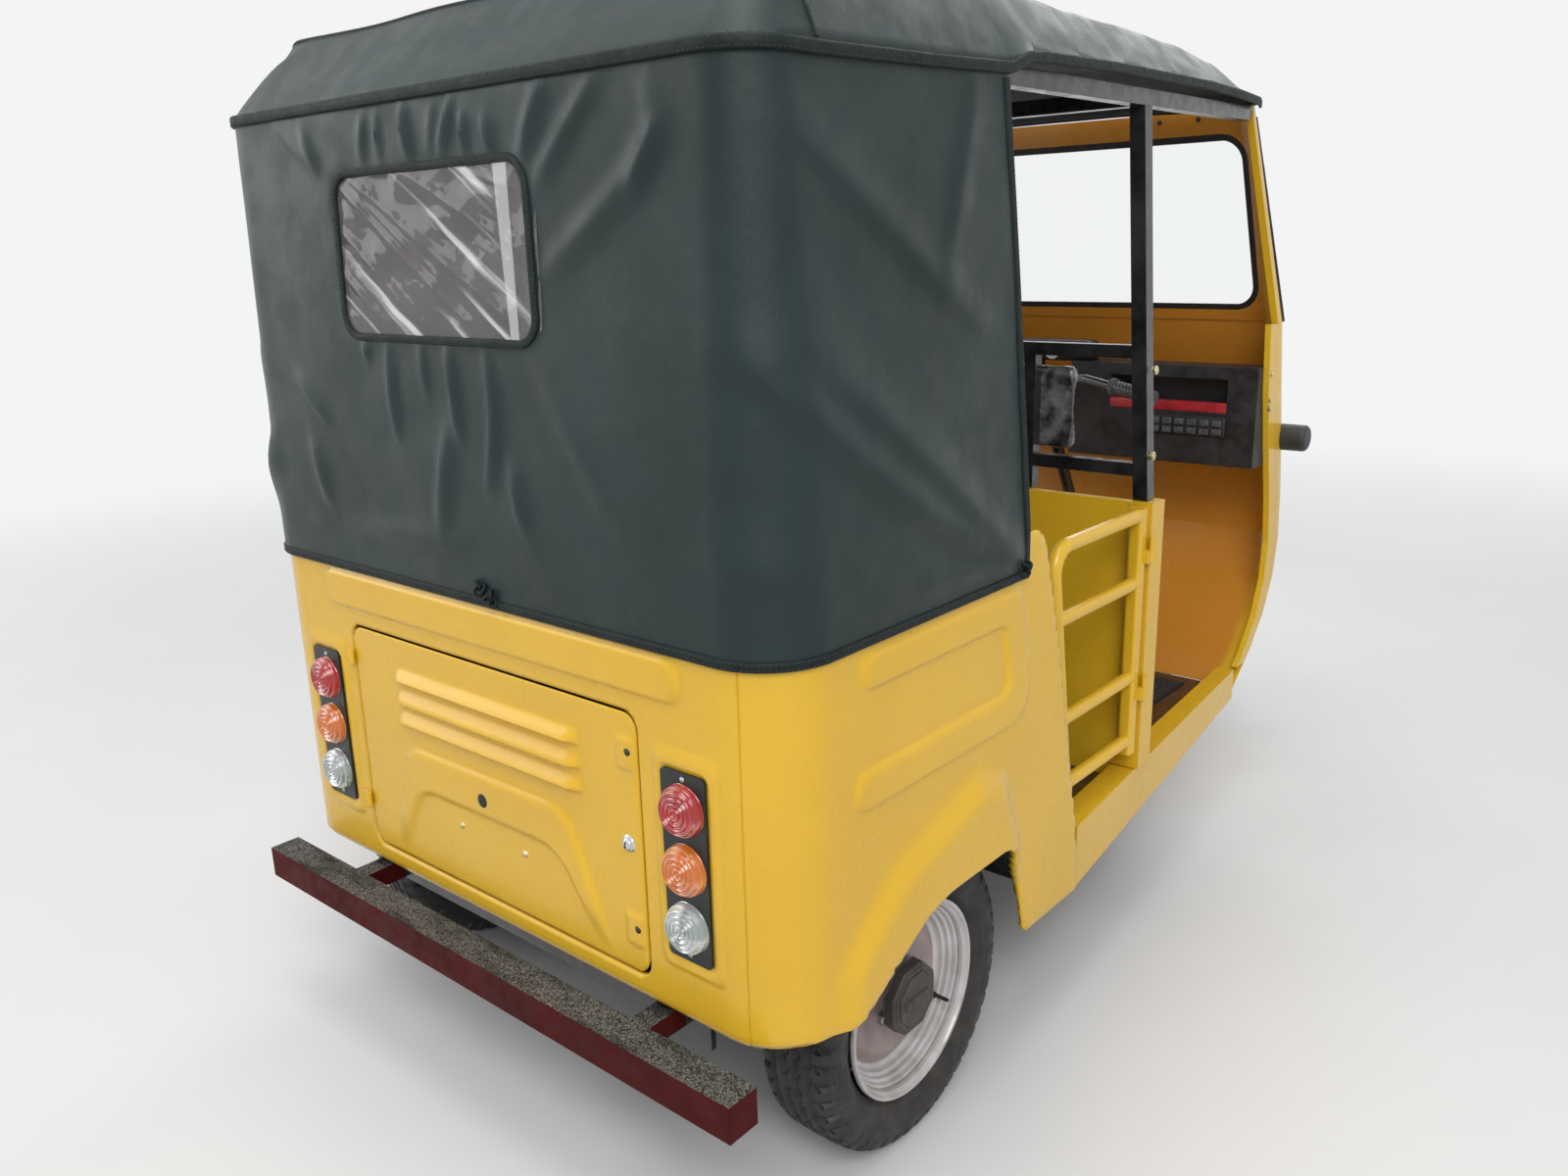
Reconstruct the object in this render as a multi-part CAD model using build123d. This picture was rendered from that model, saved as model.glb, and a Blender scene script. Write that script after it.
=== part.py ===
from build123d import *
from math import cos, pi, radians, sin, sqrt, tan
import os

# Three-wheeled passenger auto rickshaw, in millimetres. It faces -Y, its right side is -X, and it
# stands on its tyres at Z = 0. The origin is under the middle of its outline.
os.makedirs("parts", exist_ok=True)

# Driving sizes of the whole vehicle
wheelbase = 2000
rear_overhang = 452
body_half_width = 625
body_wall = 14
fit_gap = 0.3
moving_gap = 6
overrun = 40

# Wheels and tyres, 12 inch steel rims
tyre_radius = 250
tyre_width = 135
tyre_side_gap = 13.5
rim_flange_radius = 167
rim_half_width = 58
wheel_x = body_half_width - body_wall - tyre_side_gap - tyre_width / 2
hub_radius = 34
hub_bore_radius = 15
axle_radius = hub_bore_radius - fit_gap
wheel_bolt_circle = 100
wheel_bolt_count = 4
wheel_bolt_radius = 7
cap_radius = 62
cap_depth = 24
cap_sides = 8
cap_rim = 6
cap_rise = 5
cap_bar_half_length = 34
cap_bar_width = 22
guard_gap = 14
guard_thickness = 4
guard_radius = tyre_radius + guard_gap + guard_thickness

# Rear bumper bar and its brackets
bumper_depth = 56
bumper_bracket_length = 34
bumper_reach = bumper_depth + bumper_bracket_length

# Places along the vehicle, from the middle of its outline
overall_length = rear_overhang + wheelbase + guard_radius
rear_axle_y = overall_length / 2 - rear_overhang
front_axle_y = rear_axle_y - wheelbase
rear_face_y = overall_length / 2 - bumper_reach

# Floor level and rear body
floor_lift = 100
floor_z = tyre_radius + floor_lift
floor_thickness = 6
body_corner = 110
body_length = 850
body_front_y = rear_face_y - body_length
body_tip_drop = 110
body_side_height = 625
body_top_z = floor_z + body_side_height
body_tip_z = floor_z - body_tip_drop
body_height = body_top_z - body_tip_z
corner_room_share = 0.46
flare_height = 20

# Cab front
cab_setback = 572
cab_taper = 70
cowl_half_width = body_half_width - cab_taper
cowl_wall = 12
cowl_height = 870
cowl_top_z = floor_z + cowl_height
cowl_reach = 325
sill_front_y = front_axle_y + cab_setback

# Sills
sill_recess = 7
sill_width = 56
sill_front_width = 40
sill_rear_rise = 19
sill_rear_height = 126
sill_front_rise = 46
sill_front_height = 74
sill_rear_x = body_half_width - sill_recess - sill_width
sill_front_x = cowl_half_width - sill_front_width
sill_rear_top_z = floor_z + sill_rear_rise
sill_rear_bottom_z = sill_rear_top_z - sill_rear_height
sill_front_top_z = floor_z + sill_front_rise
sill_front_bottom_z = sill_front_top_z - sill_front_height

# Hood and windscreen heights and widths
hem_lap = 70
hood_height = 670
curtain_hem_z = body_top_z - hem_lap
curtain_gap = 0.5
curtain_thickness = 4
curtain_lean = 25
curtain_top_z = body_top_z + hood_height
curtain_top_half_width = body_half_width - curtain_lean
curtain_top_inset = 4
curtain_top_rear_y = rear_face_y - curtain_top_inset
curtain_setback = 235
curtain_front_y = body_front_y + curtain_setback
shoulder_rise = 10
curtain_shoulder_z = body_top_z + shoulder_rise
screen_rise = 45
screen_top_z = curtain_top_z + screen_rise
screen_side_lean = 33
screen_back_lean = 68
screen_top_half_width = cowl_half_width - screen_side_lean
screen_top_y = sill_front_y + screen_back_lean
screen_top_bulge = 68

# Roof
roof_lap = 3
roof_length = 1745
roof_half_width = curtain_top_half_width + roof_lap
roof_rise = 170
roof_thickness = 6
roof_corner = 96


def block(x0, x1, y0, y1, z0, z1):
    """A box between two corners."""
    return Pos((x0 + x1) / 2, (y0 + y1) / 2, (z0 + z1) / 2) * Box(x1 - x0, y1 - y0, z1 - z0)


def both(solid):
    """A solid and its mirror image on the other side of the vehicle."""
    return [solid, mirror(solid, about=Plane.YZ)]


def outline(points, radii):
    """A flat face through the points, each corner rounded by its own radius as far as its sides allow."""
    face = make_face(Polyline(*points, close=True))
    for n, radius in enumerate(radii):
        if radius:
            here = Vector(*points[n])
            before = Vector(*points[n - 1]) - here
            after = Vector(*points[(n + 1) % len(points)]) - here
            half_angle = radians(before.get_angle(after)) / 2
            room = corner_room_share * min(before.length, after.length) * tan(half_angle)
            corner = face.vertices().sort_by_distance((*points[n], 0))[0]
            face = fillet(corner, min(radius, room))
    return face


def tub_outline(table):
    """A face on the tub's side. Columns: share of its length from the front, share of its height,
    corner radius share."""
    points = [(body_front_y + a * body_length, body_tip_z + b * body_height) for a, b, c in table]
    return outline(points, [c * body_height for a, b, c in table])


def side_plate(face, x0, x1):
    """A face drawn in Y and Z, made solid from x0 to x1."""
    return extrude(Plane.YZ.offset(x0) * face, x1 - x0)


def rear_plate(face, y0, depth):
    """A face drawn in X and Z, made solid forwards from y0."""
    return extrude(Plane(origin=(0, y0, 0), x_dir=(1, 0, 0), z_dir=(0, -1, 0)) * face, depth)


def bar(start, end, width, height):
    """A straight rectangular bar between two points, its height in the upright plane."""
    a, b = Vector(*start), Vector(*end)
    along = (b - a).normalized()
    side = Vector(1, 0, 0) if abs(along.X) < abs(along.Z) + abs(along.Y) else Vector(0, 1, 0)
    plane = Plane(origin=a, x_dir=side - along * side.dot(along), z_dir=along)
    return extrude(plane * Rectangle(width, height), (b - a).length)


def rod(start, end, radius):
    """A round bar between two points."""
    a, b = Vector(*start), Vector(*end)
    return extrude(Plane(origin=a, z_dir=(b - a).normalized()) * Circle(radius), (b - a).length)


def tube(points, bend, radius):
    """A round tube along points, with bends of one radius."""
    path = FilletPolyline(*points, radius=bend)
    return sweep(Plane(origin=path @ 0, z_dir=path % 0) * Circle(radius), path=path)


def leaning_post(x0, x1, y, z0, z1, size):
    """A square post with level ends, leaning sideways from x0 to x1."""
    return loft([Pos(x0, y, z0) * Rectangle(size, size), Pos(x1, y, z1) * Rectangle(size, size)], ruled=True)


def plan(half_width, rear_y, front_y, corner, z):
    """A flat outline at height z, its two rear corners rounded."""
    face = Pos(0, (rear_y + front_y) / 2) * Rectangle(2 * half_width, rear_y - front_y)
    face = fillet(face.vertices().sort_by(Axis.Y)[-2:], corner)
    return Pos(0, 0, z) * face


def write(name, *solids):
    """Writes one node, from one solid or from several that do not touch."""
    flat = [s for item in solids for s in (item if isinstance(item, (list, tuple)) else [item])]
    shape = Compound(children=[s for item in flat for s in item.solids()])
    export_step(shape, f"parts/{name}.step")


def turned(profile, x, y, z, side):
    """A profile of (outwards, radius) points turned about a wheel's axle, mirrored by side."""
    face = make_face(Polyline(*profile, close=True))
    solid = revolve(face, axis=Axis.X)
    if side < 0:
        solid = mirror(solid, about=Plane.YZ)
    return Pos(x, y, z) * solid


def faceted_ring(section, sides):
    """A ring about X with flat sides, from a closed section of (outwards, radius) points."""
    turns = [2 * pi * k / sides for k in range(sides)]
    rings = [[Vector(x, r * sin(turn), -r * cos(turn)) for turn in turns] for x, r in section]
    faces = []
    for one, two in zip(rings, rings[1:] + rings[:1]):
        for k in range(sides):
            corners = [one[k - 1], one[k], two[k], two[k - 1]]
            faces.append(Face(Wire.make_polygon(corners)))
    return Solid(Shell(faces))


# Wheels
rim_thickness = 6
bead_drop = 15
well_drop = 29
dish_out = 34
dish_radius = 112
dish_well = 12
dish_foot_radius = 70
# Steps in the rim's open side, columns: share of the rim's half width, drop from the flange
rim_steps = [(0.72, 21), (0.69, 25), (0.56, 25), (0.53, 29), (0.42, 29)]
rim_section = [
    (-rim_half_width, rim_flange_radius),
    (-rim_half_width + rim_thickness, rim_flange_radius),
    (-rim_half_width + rim_thickness, rim_flange_radius - bead_drop),
    (-rim_half_width / 3, rim_flange_radius - bead_drop),
    (-rim_half_width / 4, rim_flange_radius - well_drop),
    (rim_half_width / 4, rim_flange_radius - well_drop),
    (rim_half_width / 3, rim_flange_radius - bead_drop),
    (rim_half_width - rim_thickness, rim_flange_radius - bead_drop),
    (rim_half_width - rim_thickness, rim_flange_radius),
    (rim_half_width, rim_flange_radius),
    (rim_half_width, rim_flange_radius - bead_drop),
    (rim_half_width - rim_thickness, rim_flange_radius - bead_drop - rim_thickness),
    *[(share * rim_half_width, rim_flange_radius - drop) for share, drop in rim_steps],
    (rim_half_width / 4 + rim_thickness, rim_flange_radius - well_drop - rim_thickness),
    (dish_out, dish_radius),
    (dish_out - rim_thickness, dish_radius - dish_well),
    (dish_well, dish_foot_radius),
    (dish_well, hub_radius + rim_thickness),
    (dish_well + cap_depth, hub_radius),
    (dish_well + cap_depth, hub_bore_radius),
    (-rim_half_width, hub_bore_radius),
    (-rim_half_width, hub_radius),
    (dish_well - rim_thickness, hub_radius + rim_thickness),
    (dish_well - rim_thickness, dish_foot_radius),
    (dish_out - 2 * rim_thickness, dish_radius - dish_well),
    (dish_out - rim_thickness, dish_radius + rim_thickness),
    (rim_half_width / 4 - rim_thickness, rim_flange_radius - well_drop - rim_thickness),
    (-rim_half_width / 4 - rim_thickness, rim_flange_radius - well_drop - rim_thickness),
    (-rim_half_width / 3 - rim_thickness, rim_flange_radius - bead_drop - rim_thickness),
    (-rim_half_width + rim_thickness, rim_flange_radius - bead_drop - rim_thickness),
    (-rim_half_width, rim_flange_radius - bead_drop),
]
# Tyre section, columns: share of half the tyre's width, share of the way from rim seat to tread
tyre_section_shares = [(0.8, 0.17), (0.97, 0.4), (1.0, 0.6), (0.93, 0.84), (0.72, 0.98)]
tyre_sides = 64
tyre_seat_radius = rim_flange_radius - bead_drop + fit_gap
tyre_depth = tyre_radius - tyre_seat_radius
tyre_half = [
    (x_share * tyre_width / 2, tyre_seat_radius + r_share * tyre_depth)
    for x_share, r_share in tyre_section_shares
]
bead_half_width = rim_half_width - rim_thickness - fit_gap


def wheel_parts(x, y, side):
    """Rim with its hub, tyre and hub cap of one wheel."""
    rim = turned(rim_section, x, y, tyre_radius, side)
    holes = PolarLocations(wheel_bolt_circle / 2, wheel_bolt_count)
    for spot in holes:
        drill = Plane.YZ * spot * Cylinder(wheel_bolt_radius, 4 * dish_out)
        rim -= Pos(x, y, tyre_radius) * drill
    bore_radius = tyre_seat_radius / cos(pi / tyre_sides)
    half = [(bead_half_width, bore_radius), (bead_half_width, rim_flange_radius + 2 * fit_gap)] + tyre_half
    section = half + [(0, tyre_radius)] + [(-a, r) for a, r in reversed(half)]
    tyre = Pos(x, y, tyre_radius) * faceted_ring(section, tyre_sides)
    cap_start = dish_well + cap_depth + fit_gap
    cap = loft([
        Pos(0, 0, cap_start) * RegularPolygon(cap_radius, cap_sides),
        Pos(0, 0, cap_start + cap_rim) * RegularPolygon(cap_radius, cap_sides),
        Pos(0, 0, cap_start + cap_rim + cap_rise) * RegularPolygon(cap_radius - cap_rise, cap_sides),
    ], ruled=True)
    cap += Pos(0, 0, cap_start + cap_rim + cap_rise) * extrude(
        RectangleRounded(2 * cap_bar_half_length, cap_bar_width, cap_rise), cap_rise)
    cap = Plane.YZ * cap
    if side < 0:
        cap = mirror(cap, about=Plane.YZ)
    return rim, tyre, Pos(x, y, tyre_radius) * cap


for name, side in (("left", 1), ("right", -1)):
    rim, tyre, cap = wheel_parts(side * wheel_x, rear_axle_y, side)
    write(f"rear_rim_{name}", rim)
    write(f"rear_tyre_{name}", tyre)
    write(f"rear_hub_cap_{name}", cap)

rim, tyre, cap = wheel_parts(0, front_axle_y, 1)
write("front_rim", rim)
write("front_tyre", tyre)

# Rear axle, springs and motor
axle_tube_radius = 30
axle_tube_end = wheel_x - rim_half_width - moving_gap
brake_plate_radius = 104
brake_plate_thickness = 8
motor_radius = 80
motor_reach_share = 0.61
gearbox_radius = 84
gearbox_length = 110
axle_y, axle_z = rear_axle_y, tyre_radius
axle = rod((-axle_tube_end, axle_y, axle_z), (axle_tube_end, axle_y, axle_z), axle_tube_radius)
spindle_end = wheel_x + dish_well + cap_depth
spindle = rod((-spindle_end, axle_y, axle_z), (spindle_end, axle_y, axle_z), axle_radius)
plates = [
    rod((s * (axle_tube_end - brake_plate_thickness), axle_y, axle_z), (s * axle_tube_end, axle_y, axle_z),
        brake_plate_radius)
    for s in (-1, 1)
]
gearbox = rod((-gearbox_length / 2, axle_y, axle_z), (gearbox_length / 2, axle_y, axle_z), gearbox_radius)
write("rear_axle", axle + spindle + plates[0] + plates[1] + gearbox)
motor_x = gearbox_length / 2 + fit_gap
motor_length = motor_reach_share * axle_tube_end - motor_x
motor = rod((motor_x, axle_y, axle_z), (motor_x + motor_length, axle_y, axle_z), motor_radius)
motor -= rod((0, axle_y, axle_z), (motor_x + 2 * motor_length, axle_y, axle_z), axle_tube_radius + fit_gap)
write("drive_motor", motor)

# Chassis frame
arch_side_gap = 12.5
arch_inner_x = wheel_x - tyre_width / 2 - arch_side_gap
rail_width = 40
rail_height = 50
spring_width = 44
spring_arch_gap = 10
rail_x = arch_inner_x - spring_arch_gap - spring_width - moving_gap - rail_width / 2
rail_top_z = floor_z - floor_thickness
rail_front_y = sill_front_y - rail_width / 2
rail_rear_y = rear_face_y - rail_width
cross_shares = [0.0, 0.14, 0.36, 0.62, 1.0]
rail_length = rail_rear_y - rail_front_y
chassis = both(block(
    rail_x - rail_width / 2, rail_x + rail_width / 2, rail_front_y, rail_rear_y,
    rail_top_z - rail_height, rail_top_z,
))
chassis = chassis[0] + chassis[1]
for share in cross_shares:
    y = rail_front_y + share * (rail_length - rail_width)
    chassis += block(
        -rail_x, rail_x, y, y + rail_width, rail_top_z - rail_height, rail_top_z
    )

# Steering axis: foot of the axis nearest the front axle, and unit vector up along it
rake = 30
wheel_offset = 84
up_y, up_z = sin(radians(rake)), cos(radians(rake))
foot_y = front_axle_y + wheel_offset * up_z
foot_z = tyre_radius - wheel_offset * up_y


def on_axis(s, x=0, ahead=0):
    """A point s along the steering axis, moved sideways and ahead of it."""
    return (x, foot_y + s * up_y - ahead * up_z, foot_z + s * up_z + ahead * up_y)


stem_radius = 16
head_tube_radius = 27
fork_clearance = 32
fork_crown_depth = 40
fork_crown_low = guard_radius + fork_clearance
fork_crown_high = fork_crown_low + fork_crown_depth
head_gap = 34
head_length = 146
head_low = fork_crown_high + head_gap
head_high = head_low + head_length
strut_x = 45
strut_width = 26
strut_height = 30
strut_foot_z = rail_top_z - rail_height / 2
head_tube = rod(on_axis(head_low), on_axis(head_high), head_tube_radius)
head_tube -= rod(on_axis(0), on_axis(2 * head_high), stem_radius + fit_gap / 4)
for s in (-1, 1):
    start = (s * strut_x, rail_front_y + rail_width / 2, strut_foot_z)
    chassis += bar(start, on_axis(head_low + moving_gap, s * strut_width), strut_width, strut_height)
chassis -= rod(on_axis(0), on_axis(2 * head_high), head_tube_radius)
chassis += head_tube

# Leaf springs beside the rails, held by hangers that are welded to the rails
rail_outer_x = rail_x + rail_width / 2
spring_x = rail_outer_x + moving_gap + spring_width / 2
spring_half_length = 310
leaf_thickness = 8
leaf_count = 3
leaf_step_share = 0.28
leaf_rise = 16
spring_curve_radius = (spring_half_length ** 2 + leaf_rise ** 2) / (2 * leaf_rise)
hanger_thickness = 10
spring_low_z = tyre_radius + axle_tube_radius + fit_gap
for s in (-1, 1):
    for end in (-1, 1):
        y = axle_y + end * (spring_half_length + fit_gap)
        chassis += block(
            *sorted((s * rail_outer_x, s * (spring_x + spring_width / 2))),
            *sorted((y, y + end * hanger_thickness)), spring_low_z - hanger_thickness, rail_top_z)
write("chassis_frame", chassis)
springs = []
for s in (-1, 1):
    x0, x1 = s * spring_x - spring_width / 2, s * spring_x + spring_width / 2
    pack = None
    for n in range(leaf_count):
        half = spring_half_length * (1 - leaf_step_share * n)
        radius = spring_curve_radius - (leaf_count - 1 - n) * leaf_thickness
        centre_z = spring_low_z + spring_curve_radius
        leaf = rod((x0, axle_y, centre_z), (x1, axle_y, centre_z), radius)
        leaf -= rod((x0, axle_y, centre_z), (x1, axle_y, centre_z), radius - leaf_thickness)
        leaf &= block(x0, x1, axle_y - half, axle_y + half, 0, centre_z)
        pack = leaf if pack is None else pack + leaf
    springs.append(pack)
write("leaf_springs", springs)

# Rear bumper: a square bar on two brackets
bumper_end_inset = 27
bumper_half_length = body_half_width - bumper_end_inset
bumper_drop = 14
bumper_height = 58
bumper_top_z = rail_top_z - bumper_drop
bumper_bottom_z = bumper_top_z - bumper_height
bumper_back_y = rear_face_y + bumper_reach
bracket_x = rail_x
bracket_width = rail_width
bumper = block(-bumper_half_length, bumper_half_length, bumper_back_y - bumper_depth, bumper_back_y,
               bumper_bottom_z, bumper_top_z)
for s in (-1, 1):
    bumper += block(s * bracket_x - bracket_width / 2, s * bracket_x + bracket_width / 2,
                    rail_rear_y, bumper_back_y - bumper_depth, rail_top_z - rail_height, bumper_top_z)
write("rear_bumper", bumper)

# Rear body: one pressed tub with rounded corners, its side outline cut for the wheels
tub_side_shares = [
    (1.0, 0.15, 0.0), (0.834, 0.139, 0.1), (0.60, 0.289, 0.35), (0.328, 0.289, 0.08), (0.268, 0.155, 0.1),
    (0.24, 0.02, 0.04), (0.19, 0.0, 0.04), (0.0, 0.0, 0.0), (0.02, 0.195, 0.3), (0.133, 0.725, 0.3),
    (0.205, 1.0, 0.055), (1.0, 1.0, 0.0),
]
tub_side = side_plate(tub_outline(tub_side_shares), -2 * body_half_width, 2 * body_half_width)
tub_outer = extrude(
    plan(body_half_width, rear_face_y, body_front_y - overrun, body_corner, body_tip_z), body_height)
tub_inner = extrude(
    plan(body_half_width - body_wall, rear_face_y - body_wall, body_front_y - 2 * overrun,
         body_corner - body_wall, body_tip_z - overrun), body_height + 2 * overrun)

# Wheel arch flares, raised from the side panels
flare_shares = [
    (0.90, -0.1, 0.0), (0.88, 0.26, 0.12), (0.72, 0.42, 0.16), (0.44, 0.53, 0.12), (0.33, 0.49, 0.1),
    (0.262, 0.29, 0.08), (0.25, -0.1, 0.0),
]
flare_slope = 40
flare = extrude(Plane.YZ.offset(body_half_width - body_wall / 2) * tub_outline(flare_shares),
                flare_height + body_wall / 2, taper=flare_slope)

# Pressing on each side panel: an upper and a lower bar joined by an upright at their front ends
press_shares = [
    (0.235, 0.572, 0.08), (0.82, 0.572, 0.035), (0.82, 0.66, 0.035), (0.335, 0.66, 0.03),
    (0.36, 0.813, 0.02), (0.80, 0.813, 0.035), (0.80, 0.893, 0.035), (0.295, 0.893, 0.04),
]
press_height = 5.5
press_slope = 45
press = extrude(Plane.YZ.offset(body_half_width) * tub_outline(press_shares), press_height,
                taper=press_slope)
tub = tub_outer
for solid in both(flare) + both(press):
    tub += solid
tub = tub & tub_side
tub -= tub_inner

# Rear door and its opening
door_inset = 265
door_half_width = body_half_width - door_inset
door_bottom_rise = 56
door_top_drop = 175
door_bottom_z = bumper_top_z + door_bottom_rise
door_top_z = body_top_z - door_top_drop
door_corner = 28
door_gap = 5
door_mid_z = (door_bottom_z + door_top_z) / 2
door_height = door_top_z - door_bottom_z


def door_face(grow):
    """The rear door's outline, grown on every side."""
    return Pos(0, door_mid_z) * RectangleRounded(
        2 * (door_half_width + grow), door_height + 2 * grow, door_corner + grow)


def rear_press(face, height, slope):
    """A form raised from the rear face, its edges sloped."""
    plane = Plane(origin=(0, rear_face_y, 0), x_dir=(-1, 0, 0), z_dir=(0, 1, 0))
    return extrude(plane * mirror(face, about=Plane.YZ), height, taper=slope)


top_press_inset = 170
top_press_rise = 32
top_press_height = 66
top_press = Pos(0, door_top_z + top_press_rise + top_press_height / 2) * RectangleRounded(
    2 * (body_half_width - top_press_inset), top_press_height, door_corner)
tub += rear_press(top_press, press_height, press_slope)
tub -= rear_plate(door_face(door_gap), rear_face_y + overrun, 2 * overrun)

# Tail lamp plates and lenses
lamp_side_gap = 51
lamp_plate_inner_x = door_half_width + lamp_side_gap
lamp_plate_width = 84
lamp_plate_rise = 65
lamp_plate_bottom_z = door_bottom_z + lamp_plate_rise
lamp_plate_height = 289
lamp_plate_thickness = 5
lamp_plate_corner = 8
lens_radius = 39
lens_depth = 26
lens_pitch = 90
lamp_x = lamp_plate_inner_x + lamp_plate_width / 2
lamp_z = lamp_plate_bottom_z + lamp_plate_height / 2
plate_face = Pos(lamp_x, lamp_z) * RectangleRounded(lamp_plate_width, lamp_plate_height, lamp_plate_corner)
lamp_plate = rear_plate(plate_face, rear_face_y + lamp_plate_thickness, lamp_plate_thickness)
write("tail_lamp_plates", both(lamp_plate))
lamp_ring_width = 22
lamp_ring_face = Pos(lamp_x, lamp_z) * RectangleRounded(
    lamp_plate_width + 2 * lamp_ring_width, lamp_plate_height + 2 * lamp_ring_width,
    lamp_plate_corner + lamp_ring_width)
lamp_pocket_face = Pos(lamp_x, lamp_z) * RectangleRounded(
    lamp_plate_width + 2 * fit_gap, lamp_plate_height + 2 * fit_gap, lamp_plate_corner + fit_gap)
lamp_ring = rear_press(lamp_ring_face, lamp_plate_thickness, press_slope)
lamp_ring -= rear_plate(lamp_pocket_face, rear_face_y + overrun, overrun)
for solid in both(lamp_ring):
    tub += solid
lens_base_y = rear_face_y + lamp_plate_thickness
lens_step = 7
for colour, place in (("red", 1), ("amber", 0), ("clear", -1)):
    z = lamp_z + place * lens_pitch
    lens = rod((lamp_x, lens_base_y, z), (lamp_x, lens_base_y + lens_depth, z), lens_radius)
    lens = fillet(lens.edges().sort_by(Axis.Y)[-1], lens_step)
    write(f"tail_lamps_{colour}", both(lens))
write("rear_body", tub)

# Rear door: pressed panel with louvres, hinged on its left edge
hinge_radius = 6
hinge_length = 50
hinge_low_share = 0.17
hinge_high_share = 0.83
door_hinge_x = door_half_width + door_gap / 2
door_hinge_y = rear_face_y + hinge_radius
door = rear_plate(door_face(0), rear_face_y, body_wall)
louvre_count = 3
louvre_inset = 124
louvre_half_length = door_half_width - louvre_inset
louvre_height = 22
louvre_pitch = 38
louvre_drop = 49
louvre_top_z = door_top_z - louvre_drop
louvre_depth = 9
for n in range(louvre_count):
    z = louvre_top_z - n * louvre_pitch - louvre_height / 2
    slot = Pos(0, z) * SlotOverall(2 * louvre_half_length, louvre_height)
    plane = Plane(origin=(0, rear_face_y, 0), x_dir=(-1, 0, 0), z_dir=(0, 1, 0))
    door += extrude(plane * slot, louvre_depth, taper=flare_slope)
# Raised band that arches over the number plate, columns: place across, height above the door's foot
field_outer = [(292, 22), (226, 229), (-200, 232), (-300, 22)]
field_inner = [(-252, 22), (-166, 142), (186, 140), (246, 22)]
field_radii = [10, 45, 65, 10, 10, 60, 45, 10]
field_height = 7
field_slope = 30
field_points = [(x, door_bottom_z + z) for x, z in field_outer + field_inner]
door += rear_press(outline(field_points, field_radii), field_height, field_slope)
knuckles = []
for share in (hinge_low_share, hinge_high_share):
    z = door_bottom_z + share * door_height
    pin = rod((door_hinge_x, door_hinge_y, z - hinge_length / 2),
              (door_hinge_x, door_hinge_y, z), hinge_radius - fit_gap)
    leaf = block(door_hinge_x - hinge_length / 2, door_hinge_x, rear_face_y,
                 rear_face_y + hinge_radius / 3, z - hinge_length / 2, z)
    door += pin + leaf
    knuckle = rod((door_hinge_x, door_hinge_y, z + fit_gap),
                  (door_hinge_x, door_hinge_y, z + hinge_length / 2), hinge_radius - fit_gap)
    leaf = block(door_hinge_x, door_hinge_x + hinge_length / 2, rear_face_y,
                 rear_face_y + hinge_radius / 3, z + fit_gap, z + hinge_length / 2)
    knuckles.append(knuckle + leaf)
plate_hole_spacing = 166
plate_hole_radius = 3.3
plate_hole_rise = 112
plate_hole_z = door_bottom_z + plate_hole_rise
for s in (-1, 1):
    x = s * plate_hole_spacing / 2
    door -= rod((x, rear_face_y - overrun, plate_hole_z), (x, rear_face_y + overrun, plate_hole_z),
                plate_hole_radius)
write("rear_door", door)
write("rear_door_hinges", knuckles)
lock_inset = 28
lock_rise = 209
lock_x = -door_half_width + lock_inset
lock_z = door_bottom_z + lock_rise
lock_radius = 14
lock_depth = 8
lock = rod((lock_x, rear_face_y, lock_z), (lock_x, rear_face_y + lock_depth, lock_z), lock_radius)
write("rear_door_lock", lock)

# Floor pan, in front between the sills, behind between the wheel arches
arch_clearance = 50
arch_radius = tyre_radius + arch_clearance
arch_thickness = 8
arch_low_z = floor_z - arch_thickness
floor_rear_y = rear_face_y - body_wall - fit_gap
floor_points = [
    (sill_rear_x - fit_gap, body_front_y), (sill_front_x - fit_gap, sill_front_y),
    (-sill_front_x + fit_gap, sill_front_y), (-sill_rear_x + fit_gap, body_front_y),
]
front_floor = Pos(0, 0, floor_z - floor_thickness) * extrude(
    make_face(Polyline(*floor_points, close=True)), floor_thickness)
arch_front_y = rear_axle_y - arch_radius - arch_thickness
mid_floor = block(-body_half_width + body_wall + fit_gap, body_half_width - body_wall - fit_gap,
                  body_front_y, arch_front_y - fit_gap, floor_z - floor_thickness, floor_z)
rear_floor = block(-arch_inner_x + fit_gap, arch_inner_x - fit_gap, arch_front_y - fit_gap, floor_rear_y,
                   floor_z - floor_thickness, floor_z)
write("floor_pan", front_floor + mid_floor + rear_floor)

# Inner wheel arches: half drums over the rear wheels
arch_outer_x = body_half_width - body_wall - fit_gap
arch = rod((arch_inner_x, axle_y, axle_z), (arch_outer_x, axle_y, axle_z), arch_radius + arch_thickness)
arch -= rod((arch_inner_x + arch_thickness, axle_y, axle_z), (arch_outer_x + overrun, axle_y, axle_z),
            arch_radius)
arch -= block(0, 2 * body_half_width, -overall_length, overall_length, -overall_length, arch_low_z)
arch &= extrude(
    plan(arch_outer_x, rear_face_y - body_wall - fit_gap, body_front_y, body_corner - body_wall - fit_gap,
         body_tip_z), body_height)
write("wheel_arches", both(arch))

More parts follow.
